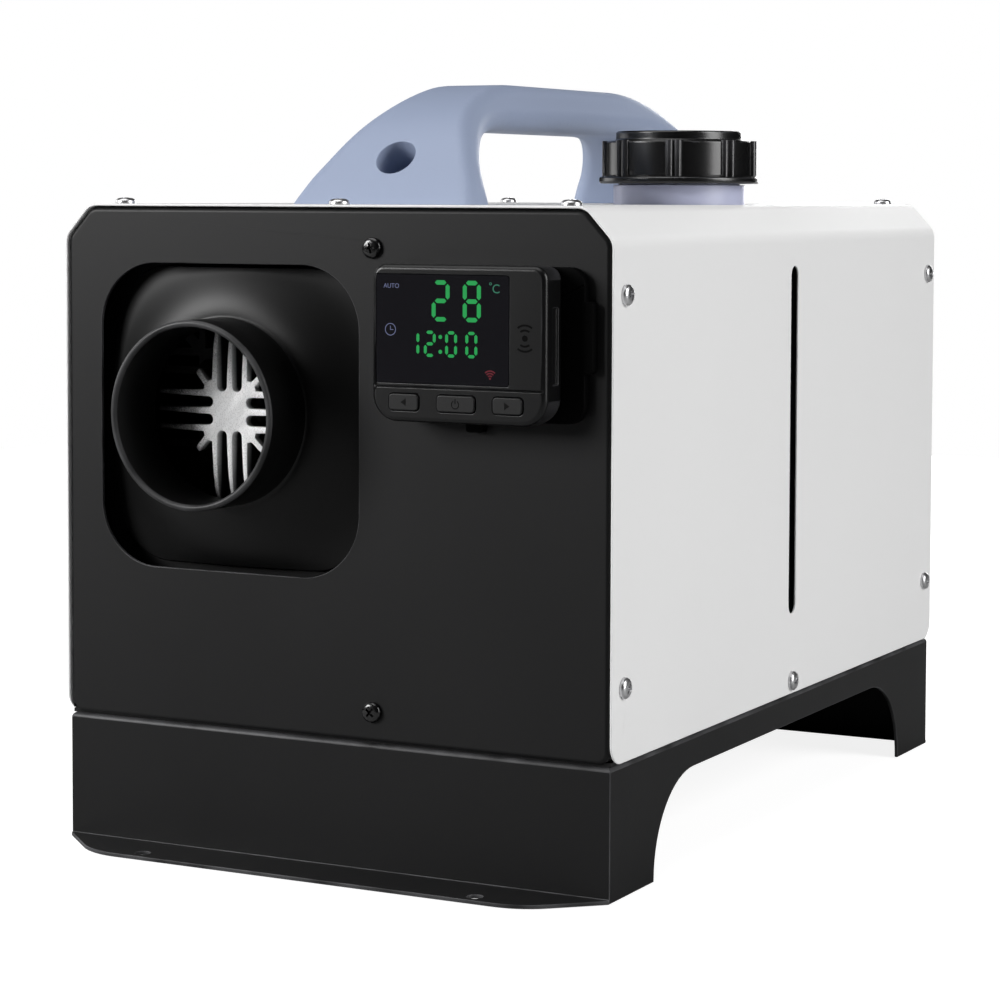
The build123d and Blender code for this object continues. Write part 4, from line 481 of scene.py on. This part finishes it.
# the spigot, and the throat behind it as (radius, y)
BORE_R = 33.65
SPIGOT_R = 36.25
LIP_R = (SPIGOT_R - BORE_R) / 2
LIP_Y = -199.7
LIP_STEPS = 8
LIT_LIP_Y = -199.4
HOOD_BACK_Y = -160.6
THROAT = ((53.5, HOOD_BACK_Y), (52.6, -163.6), (50.6, -166.9), (47.0, -169.9), (41.5, -172.7),
          (BORE_R, -174.4), (BORE_R, -188.0))
SPIGOT_FOOT = ((SPIGOT_R, LIP_Y), (SPIGOT_R, -190.0), (SPIGOT_R, -176.4))
# the dome from the spigot's foot to just inside the opening, and the flange behind the panel
DOME_R = 36.6
DOME_Y = -176.1
DOME_DEPTH = 12.0
DOME_FALL = 0.0022
DOME_STEPS = 28
DOME_INSET = 1.6
FLANGE_LAND = 0.8
FLANGE_ROOT_Y = -163.2
FLANGE_FRONT_Y = -163.0
FLANGE_OUT = 5.5
HOOD_TURNS = 160
HOOD_CREASE = 40


def opening_radius(turn, grow):
    """How far the opening, made larger all round by grow, reaches from the heater's axis."""
    half_w = OPENING_HALF_W + grow
    half_h = OPENING_HALF_H + grow
    corner = OPENING_CORNER_R + grow
    run = Vector((math.cos(turn), math.sin(turn)))
    low, high = 0.0, REACH_LIMIT
    for _ in range(REACH_HALVINGS):
        reach = (low + high) / 2
        x = abs(run.x * reach)
        z = abs(run.y * reach + AXIS_ABOVE_OPENING)
        past = max(x - half_w + corner, 0.0), max(z - half_h + corner, 0.0)
        inside = x < half_w and z < half_h and math.hypot(*past) < corner
        low, high = (reach, high) if inside else (low, reach)
    return low


def hood_section(turn):
    """The hood cut at one turn round the axis, as (radius, y), from the throat by the lip to the flange."""
    section = [*THROAT, (BORE_R, LIP_Y)]
    for step in range(1, LIP_STEPS):
        bend = math.pi * step / LIP_STEPS
        section.append((BORE_R + LIP_R - LIP_R * math.cos(bend), LIP_Y - LIP_R * math.sin(bend)))
    section += [*SPIGOT_FOOT, (DOME_R, DOME_Y)]
    edge = opening_radius(turn, -DOME_INSET)
    for step in range(1, DOME_STEPS + 1):
        out = (edge - DOME_R) * step / DOME_STEPS
        section.append((DOME_R + out, DOME_Y + DOME_DEPTH * (1 - math.exp(-DOME_FALL * out ** 2))))
    wide = opening_radius(turn, FLANGE_OUT)
    return section + [(edge + FLANGE_LAND, FLANGE_ROOT_Y), (wide, FLANGE_FRONT_Y), (wide, HOOD_BACK_Y)]


def hood_vert(bm, turn, radius, y):
    """A point of the hood, from its section at one turn."""
    return bm.verts.new((HEATER.x + radius * MM * math.cos(turn), y * MM,
                         HEATER.z + radius * MM * math.sin(turn)))


def outlet_hood():
    """The hood as one closed skin, with a painted highlight on the front of its lip."""
    bm = bmesh.new()
    rings = []
    for step in range(HOOD_TURNS):
        turn = 2 * math.pi * step / HOOD_TURNS
        rings.append([hood_vert(bm, turn, radius, y) for radius, y in hood_section(turn)])
    for one, after in zip(rings, rings[1:] + rings[:1]):
        band(bm, one, after)
    mesh = closed_mesh(bm, "hood")
    shade_smooth(mesh, HOOD_CREASE)
    # the front of the lip is marked for a painted highlight
    set_wear_and_highlight(mesh, [1.0 if face.center.y < LIT_LIP_Y * MM else 0.0 for face in mesh.polygons])
    add_piece("outlet_hood_look", mesh, body_of["outlet_hood"], HOOD, "outlet_hood")


outlet_hood()


# ---- the star face of the heat exchanger, in millimetres -----------------------------
FIN_PITCH = 6.8
FIN_HALF = 1.3
GAP_HALF = FIN_PITCH / 2 - FIN_HALF
FIN_ROOT = 9.7
FLANK_ROOT = 12.0
# stations along a fin or a stub: how far from the axis, half its width, and how far behind the star's face
FIN = ((FIN_ROOT, FIN_HALF, 0.0), (15.0, 1.2, 0.1), (20.0, 1.05, 0.3), (25.0, 0.95, 0.7), (30.0, 0.85, 1.5),
       (34.5, 0.8, 3.2))
STUB = ((15.0, 1.3, 0.0), (17.0, 1.15, 0.2), (19.5, 1.2, 0.5), (21.0, 1.2, 0.9), (21.9, 0.8, 1.3))
SCALLOP_STEPS = 8
STAR_DEPTH = 8.0
STAR_ROUND = 0.28
STAR_ROUND_ANGLE = 50
STAR_CREASE = 30
CORE_FRONT = -166.0


def cut_front(obj, y):
    """Take off what lies in front of y metres and close the cut."""
    bm = bmesh.new()
    bm.from_mesh(obj.data)
    result = bmesh.ops.bisect_plane(bm, geom=bm.verts[:] + bm.edges[:] + bm.faces[:], plane_co=(0, y, 0),
                                    plane_no=(0, -1, 0), clear_outer=True)
    rim = [item for item in result["geom_cut"] if isinstance(item, bmesh.types.BMEdge)]
    bmesh.ops.holes_fill(bm, edges=rim)
    bm.to_mesh(obj.data)
    bm.free()


def star_blades():
    """The blades in turn round the hub, as (angle, offset from the axis, stations)."""
    blades = []
    for quarter in range(4):
        angle = math.radians(90 * quarter)
        blades += [(angle, offset, FIN) for offset in (-FIN_PITCH, 0.0, FIN_PITCH)]
        blades.append((angle + math.radians(45), 0.0, STUB))
    return blades


def star_vert(bm, angle, along, across, back):
    """A point of the star: along a blade and across it, and how far behind the star's face."""
    x = along * math.cos(angle) - across * math.sin(angle)
    z = along * math.sin(angle) + across * math.cos(angle)
    return bm.verts.new((HEATER.x + x * MM, STAR_FRONT + back * MM, HEATER.z + z * MM))


def blade_flank(bm, angle, offset, stations, side):
    """One long edge of a blade's face. An outer flank of an outer fin starts further out on the hub."""
    flank = []
    for far, half, back in stations:
        along = FLANK_ROOT if not flank and side * offset > 0 else far
        flank.append(star_vert(bm, angle, along, offset + side * half, back))
    return flank


def star_scallop(bm, angle, offset):
    """The round hollow in the hub between a fin and the next one."""
    hollow = []
    for step in range(1, SCALLOP_STEPS):
        bend = math.pi * step / SCALLOP_STEPS
        hollow.append(star_vert(bm, angle, FIN_ROOT - GAP_HALF * math.sin(bend),
                                offset + FIN_PITCH / 2 - GAP_HALF * math.cos(bend), 0.0))
    return hollow


def heat_exchanger_star():
    """The hub's flat face with its tapered blades, and the walls behind them."""
    bm = bmesh.new()
    hub = []
    outline = []
    for angle, offset, stations in star_blades():
        right = blade_flank(bm, angle, offset, stations, -1)
        left = blade_flank(bm, angle, offset, stations, 1)
        for k in range(len(stations) - 1):
            bm.faces.new((right[k], left[k], left[k + 1], right[k + 1]))
        hub += [right[0], left[0]]
        outline += right + left[::-1]
        if stations is FIN and offset < FIN_PITCH:
            hollow = star_scallop(bm, angle, offset)
            hub += hollow
            outline += hollow
    bm.faces.new(hub)
    behind = [bm.verts.new((vert.co.x, STAR_FRONT + STAR_DEPTH * MM, vert.co.z)) for vert in outline]
    band(bm, outline, behind)
    bm.faces.new(behind[::-1])
    mesh = closed_mesh(bm, "star")
    shade_smooth(mesh, STAR_CREASE)
    star = add_piece("heat_exchanger_star", mesh, body_of["heat_exchanger"], STAR,
                     "heat_exchanger")
    round_edges(star, STAR_ROUND, 2, STAR_ROUND_ANGLE, clamp=True)
    star.data.set_sharp_from_angle(angle=math.radians(CREASE_ANGLE))


cut_front(dress("heat_exchanger", bevel=0), CORE_FRONT * MM)
heat_exchanger_star()


# ---- screws with a cross recess, in millimetres --------------------------------------
SHANK_R = 1.9
SHANK_L = 8.0
HEAD_R = 4.0
HEAD_SEAT = ((SHANK_R, -0.05), (3.7, -0.02), (HEAD_R, 0.15))
HEAD_EDGE_H = 0.7
CROWN_W = 2.2
CROWN_H = 1.55
CROWN_STEPS = 8
HEAD_TOP = ((1.0, 2.37), (0.0, 2.4))
# a bar of the cross as (length, width, height) at its top and its foot
CROSS_TOP = (4.6, 1.0, 2.6)
CROSS_FOOT = (2.0, 0.6, 0.9)
# in degrees
SCREW_CREASE = 28
FIRST_TURN = 12
TURN_STEP = 37


def lathe(points, steps=40):
    """A turned mesh about z from (radius, height) points, the first and last of them on the axis."""
    bm = bmesh.new()
    rings = []
    for radius, height in points:
        ring = []
        for step in range(steps if radius else 1):
            turn = 2 * math.pi * step / steps
            ring.append(bm.verts.new((radius * math.cos(turn), radius * math.sin(turn), height)))
        rings.append(ring)
    for low, high in zip(rings, rings[1:]):
        band(bm, low, high)
    return closed_mesh(bm, "turned")


def cross_cutter():
    """Two tapered bars that cross over the origin."""
    bm = bmesh.new()
    for turn in (0, 90):
        made = bmesh.ops.create_cube(bm, size=1.0)["verts"]
        for vert in made:
            long, wide, height = CROSS_TOP if vert.co.z > 0 else CROSS_FOOT
            vert.co = Vector((vert.co.x * long, vert.co.y * wide, height)) * MM
        bmesh.ops.rotate(bm, verts=made, cent=(0, 0, 0), matrix=Matrix.Rotation(math.radians(turn), 3, "Z"))
    return new_object("cross", mesh_from(bm, "cross"))


def cross_screw():
    """The mesh of a pan head screw standing on its seat at the origin, with a tapered cross in its head."""
    profile = [(0.0, -SHANK_L), (SHANK_R, -SHANK_L), *HEAD_SEAT, (HEAD_R, HEAD_EDGE_H)]
    for step in range(1, CROWN_STEPS + 1):
        turn = math.pi / 2 * step / CROWN_STEPS
        profile.append((HEAD_R - CROWN_W * (1 - math.cos(turn)), HEAD_EDGE_H + CROWN_H * math.sin(turn)))
    profile += HEAD_TOP
    screw = new_object("screw", lathe([(radius * MM, height * MM) for radius, height in profile]))
    cutter = cross_cutter()
    cut = screw.modifiers.new("cross", "BOOLEAN")
    cut.object = cutter
    cut.operation = "DIFFERENCE"
    cut.solver = "EXACT"
    cut.use_self = True
    bake(screw)
    mesh = screw.data.copy()
    bpy.data.objects.remove(screw)
    bpy.data.objects.remove(cutter)
    shade_smooth(mesh, SCREW_CREASE)
    return mesh


SCREW = cross_screw()


def screws(node, places, look):
    """One piece for a node's screws, from each one's place and facing, with the crosses turned by steps."""
    bm = bmesh.new()
    for count, (place, facing) in enumerate(places):
        turn = Matrix.Rotation(math.radians(FIRST_TURN + TURN_STEP * count), 4, "Z")
        seat = Vector((0, 0, 1)).rotation_difference(Vector(facing)).to_matrix().to_4x4()
        part = SCREW.copy()
        part.transform(Matrix.Translation(place) @ seat @ turn)
        bm.from_mesh(part)
        bpy.data.meshes.remove(part)
    add_piece(node + "_cross", mesh_from(bm, node + "_heads"), body_of[node], look, node)


# where the screws sit, in metres
COVER_END_INSET = 0.010
COVER_TOP_X = (-0.098, 0.0, 0.098)
COVER_SIDE_Z = (TOP - 0.032, 0.078)
COVER_MIDDLE_Z = 0.056
PANEL_SCREW_X = 0.020
PANEL_SCREW_Z = (0.237, 0.062)
BASE_SCREW_X = 0.100
BASE_SCREW_Y = 0.135


def cover_screw_places():
    """Three screws on the top and two on each side at each end of the cover, and one low on each side."""
    places = []
    for y in (FRONT + COVER_END_INSET, REAR - COVER_END_INSET):
        places += [((x, y, TOP), (0, 0, 1)) for x in COVER_TOP_X]
        for side in (-1, 1):
            places += [((side * SKIN, y, z), (side, 0, 0)) for z in COVER_SIDE_Z]
    return places + [((side * SKIN, 0, COVER_MIDDLE_Z), (side, 0, 0)) for side in (-1, 1)]


def base_screw_places():
    """One screw in each corner of the floor plate."""
    places = []
    for x in (-BASE_SCREW_X, BASE_SCREW_X):
        places += [((x, y, PLATE_TOP), (0, 0, 1)) for y in (-BASE_SCREW_Y, BASE_SCREW_Y)]
    return places


screws("cover_screws", cover_screw_places(), STEEL_SCREW)
for node, y, way in (("front_panel_screws", PANEL_FRONT, -1), ("rear_panel_screws", PANEL_REAR, 1)):
    screws(node, [((PANEL_SCREW_X, y, z), (0, way, 0)) for z in PANEL_SCREW_Z], BLACK_SCREW)
screws("base_screws", base_screw_places(), STEEL_SCREW)


# ---- flat figures and signs, in millimetres ------------------------------------------
FIGURE_T = 0.05
KEY_MARK_T = 0.03
LETTER_T = 0.02
LETTER_LIFT = 0.03
SEGMENTS = {"0": "abcdef", "1": "bc", "2": "abged", "8": "abcdefg"}


def on_face(across, down):
    """A point of the controller's face as (x, z), from the display window's upper left corner."""
    return WINDOW_LEFT / MM + across, WINDOW_TOP / MM - down


def flat_piece(name, shapes, look, y=CASE_FRONT, thickness=FIGURE_T, body="heater_box"):
    """Thin raised shapes, each a closed row of (x, z), standing forward from the plane at y metres."""
    bm = bmesh.new()
    for shape in shapes:
        near = [bm.verts.new((x * MM, y - thickness * MM, z * MM)) for x, z in shape]
        far = [bm.verts.new((x * MM, y, z * MM)) for x, z in shape]
        bm.faces.new(near)
        bm.faces.new(far[::-1])
        band(bm, near, far)
    add_piece(name, closed_mesh(bm, name), body, look)


def letters(text, name, size, corner, look):
    """Small generic lettering on the display window, its lower left corner at (x, z)."""
    font = bpy.data.curves.new(name, "FONT")
    font.body = text
    font.size = size * MM
    font.extrude = LETTER_T * MM
    holder = new_object(name, font)
    stand = Matrix.Rotation(math.pi / 2, 4, "X")
    place = (corner[0] * MM, CASE_FRONT - LETTER_LIFT * MM, corner[1] * MM)
    holder.matrix_world = Matrix.Translation(place) @ stand
    bpy.context.view_layer.update()
    mesh = bpy.data.meshes.new_from_object(holder.evaluated_get(bpy.context.evaluated_depsgraph_get()))
    mesh.transform(holder.matrix_world)
    bpy.data.objects.remove(holder)
    add_piece(name, mesh, "heater_box", look)


def bar(start, end, width):
    """A straight stroke with pointed ends."""
    start = Vector(start)
    end = Vector(end)
    along = (end - start).normalized()
    across = Vector((-along.y, along.x)) * width / 2
    tip = along * width / 2
    return [start, start + tip + across, end - tip + across, end, end - tip - across, start + tip - across]


def digit(text, corner, width, height, thick, gap):
    """The lit bars of an upright seven segment figure, its lower left corner at (x, z)."""
    x0 = corner[0] + thick / 2
    x1 = corner[0] + width - thick / 2
    z0 = corner[1] + thick / 2
    z2 = corner[1] + height - thick / 2
    z1 = (z0 + z2) / 2
    ends = {
        "a": ((x0 + gap, z2), (x1 - gap, z2)),
        "b": ((x1, z1 + gap), (x1, z2 - gap)),
        "c": ((x1, z0 + gap), (x1, z1 - gap)),
        "d": ((x0 + gap, z0), (x1 - gap, z0)),
        "e": ((x0, z0 + gap), (x0, z1 - gap)),
        "f": ((x0, z1 + gap), (x0, z2 - gap)),
        "g": ((x0 + gap, z1), (x1 - gap, z1))}
    return [bar(*ends[name], thick) for name in SEGMENTS[text]]


def polar(center, radius, angle):
    """The point at a radius and an angle in degrees from a center."""
    turn = math.radians(angle)
    return center[0] + radius * math.cos(turn), center[1] + radius * math.sin(turn)


def arc(center, radius, start, end, width, steps=12):
    """A curved stroke between two angles in degrees."""
    angles = [start + (end - start) * step / steps for step in range(steps + 1)]
    outer = [polar(center, radius + width / 2, angle) for angle in angles]
    inner = [polar(center, radius - width / 2, angle) for angle in angles]
    return outer + inner[::-1]


def circle(center, radius, width):
    """A round stroke in two halves."""
    return [arc(center, radius, start, start + 180, width) for start in (0, 180)]


def disc(center, radius, steps=20):
    """A filled round."""
    return [polar(center, radius, 360 * step / steps) for step in range(steps)]


# ---- the display, as millimetres across and down from the window's corner -------------
HEAT_DIGIT = {"width": 7.4, "height": 15.0, "thick": 1.65, "gap": 0.5}
HEAT_LINE = 16.9
HEAT_FIGURES = (("2", 23.1), ("8", 35.9))
CLOCK_DIGIT = {"width": 4.9, "height": 9.6, "thick": 1.2, "gap": 0.42}
CLOCK_LINE = 29.9
CLOCK_FIGURES = (("1", 13.1), ("2", 19.9), ("0", 28.7), ("0", 37.0))
COLON = ((26.7, 22.5), (26.7, 27.9))
COLON_R = 0.75

figures = []
for text, left in HEAT_FIGURES:
    figures += digit(text, on_face(left, HEAT_LINE), **HEAT_DIGIT)
for text, left in CLOCK_FIGURES:
    figures += digit(text, on_face(left, CLOCK_LINE), **CLOCK_DIGIT)
figures += [disc(on_face(*point), COLON_R) for point in COLON]
flat_piece("display_digits", figures, DIGIT)

letters("AUTO", "display_auto", size=2.35, corner=on_face(3.0, 5.0), look=BLUE)
letters("C", "display_unit", size=4.6, corner=on_face(47.8, 6.2), look=UNIT)
flat_piece("display_degree", circle(on_face(47.2, 2.9), radius=0.4, width=0.25), UNIT)

timer = [*circle(on_face(5.9, 20.2), radius=2.15, width=0.27),
         bar(on_face(5.9, 20.4), on_face(5.9, 18.9), width=0.25),
         bar(on_face(5.7, 20.3), on_face(7.2, 20.3), width=0.25)]
flat_piece("display_timer", timer, BLUE)

signal = [disc(on_face(47.1, 37.0), radius=0.4)]
for radius in (1.15, 2.05, 2.95):
    signal.append(arc(on_face(47.1, 37.2), radius, start=48, end=132, width=0.5))
flat_piece("display_signal", signal, RED)

# the printed sign on the case, to the right of the window: waves above and below a dot
WAVES_MIDDLE = on_face(61.1, 22.2)
waves = [disc(WAVES_MIDDLE, radius=1.15)]
for radius in (2.9, 4.7):
    waves += [arc(WAVES_MIDDLE, radius, start, start + 76, width=0.75) for start in (52, 232)]
flat_piece("case_signal", waves, PRINT)


# ---- the marks on the three buttons, in millimetres ----------------------------------
ARROW_HALF_L = 1.1
ARROW_HALF_H = 1.4
RING_R = 1.5
RING_DROP = 0.2
BAR_RISE = 2.0


def key_center(mark):
    """The middle of a button's face as (x, z)."""
    place = middle("button_" + mark)
    return place.x / MM, place.z / MM


def arrow(center, way):
    """A filled triangle that points to the left (-1) or the right (1)."""
    x, z = center
    base = x - way * ARROW_HALF_L
    return [(x + way * ARROW_HALF_L, z), (base, z - way * ARROW_HALF_H), (base, z + way * ARROW_HALF_H)]


def power_sign(center):
    """An open ring with a bar in its gap."""
    x, z = center
    return [arc((x, z - RING_DROP), RING_R, start=120, end=420, width=0.4, steps=20),
            bar(center, (x, z + BAR_RISE), width=0.45)]


key_marks = (("left", [arrow(key_center("left"), -1)]), ("power", power_sign(key_center("power"))),
             ("right", [arrow(key_center("right"), 1)]))
for mark, shapes in key_marks:
    flat_piece("key_mark_" + mark, shapes, KEY_PRINT, KEY_FRONT, KEY_MARK_T, mark + "_key")


# ---- camera --------------------------------------------------------------------------
SENSOR_W = 36.0
LENS = 102.94
SHIFT_Y = -0.13
EYE = (0.5549, -1.1007, 0.2574)
YAW = math.radians(27.449)
TILT = math.radians(3.532)
ROLL = 0.0032
CLIP_START = 0.01

camera_data = bpy.data.cameras.new("camera")
camera_data.sensor_width = SENSOR_W
camera_data.lens = LENS
camera_data.shift_y = SHIFT_Y
camera_data.clip_start = CLIP_START
camera = new_object("camera", camera_data)
aim = Vector((-math.sin(YAW) * math.cos(TILT), math.cos(YAW) * math.cos(TILT), -math.sin(TILT)))
side = aim.cross(Vector((0, 0, 1))).normalized()
turned = Matrix((side, side.cross(aim), -aim)).transposed().to_4x4()
camera.matrix_world = Matrix.Translation(EYE) @ turned @ Matrix.Rotation(ROLL, 4, "Z")
bpy.context.scene.camera = camera
bpy.context.scene.view_settings.view_transform = "Standard"


# ---- light ---------------------------------------------------------------------------
# each area light's name, its place, the point it faces, its size across and down in metres, and its watts
LIGHTS = (
    ("top", (-0.3, -0.5, 1.9), (0, 0, 0.15), (1.8, 1.4), 18),
    ("right", (2.0, -0.05, 0.9), (0, 0, 0.15), (1.0, 1.6), 41),
    ("left", (-2.0, 0.3, 0.7), (0, 0, 0.2), (1.1, 1.1), 8),
    ("back", (-0.35, 2.4, 0.5), (0, 0, 0.2), (1.0, 0.8), 22),
    ("front", (-1.42, -1.62, 0.92), (0, 0, 0.15), (0.9, 0.9), 51))
ROOM_HEIGHTS = (0.1, 1.0)
ROOM_STRENGTHS = (0.01, 0.60)

for name, place, target, light_size, power in LIGHTS:
    light = bpy.data.lights.new(name, "AREA")
    light.shape = "RECTANGLE"
    light.size, light.size_y = light_size
    light.energy = power
    toward = (Vector(target) - Vector(place)).to_track_quat("-Z", "Y").to_matrix().to_4x4()
    new_object(name, light).matrix_world = Matrix.Translation(place) @ toward

# the room lights the object from above and is seen as a plain white backdrop
world = bpy.data.worlds.new("studio")
bpy.context.scene.world = world
world.use_nodes = True
tree = world.node_tree
room = tree.nodes["Background"]
backdrop = tree.nodes.new("ShaderNodeBackground")
backdrop.inputs["Color"].default_value = (1, 1, 1, 1)
way = tree.nodes.new("ShaderNodeTexCoord")
split = tree.nodes.new("ShaderNodeSeparateXYZ")
seen = tree.nodes.new("ShaderNodeLightPath")
choose = tree.nodes.new("ShaderNodeMixShader")
tree.links.new(way.outputs["Generated"], split.inputs["Vector"])
tree.links.new(remap(tree, split.outputs["Z"], ROOM_HEIGHTS, ROOM_STRENGTHS), room.inputs["Strength"])
tree.links.new(seen.outputs["Is Camera Ray"], choose.inputs["Fac"])
tree.links.new(room.outputs["Background"], choose.inputs[1])
tree.links.new(backdrop.outputs["Background"], choose.inputs[2])
tree.links.new(choose.outputs["Shader"], tree.nodes["World Output"].inputs["Surface"])


# ---- floor ---------------------------------------------------------------------------
FLOOR_HALF_W = 1.2
FLOOR_FRONT = -1.2
FLOOR_REAR = 1.6
FLOOR_DROP = 0.0004
FLOOR_GLOW = 0.86

PALE = surface("pale floor", (0.36, 0.36, 0.36), 0.8, tint=(0.35, 0.35, 0.35), blotch=1.5, grain=60.0,
               grain_depth=0.0001, specular=0.1)
tree = PALE.node_tree
shader = tree.nodes["Principled BSDF"]
shader.inputs["Emission Color"].default_value = (1, 1, 1, 1)
seen = tree.nodes.new("ShaderNodeLightPath")
lit = remap(tree, seen.outputs["Is Camera Ray"], wanted=(0.0, FLOOR_GLOW))
tree.links.new(lit, shader.inputs["Emission Strength"])

floor_mesh = bpy.data.meshes.new("floor")
corners = [(-FLOOR_HALF_W, FLOOR_FRONT, 0), (FLOOR_HALF_W, FLOOR_FRONT, 0),
           (FLOOR_HALF_W, FLOOR_REAR, 0), (-FLOOR_HALF_W, FLOOR_REAR, 0)]
floor_mesh.from_pydata(corners, [], [(0, 1, 2, 3)])
floor_mesh.materials.append(PALE)
floor = new_object("floor", floor_mesh)
floor.location.z = -FLOOR_DROP
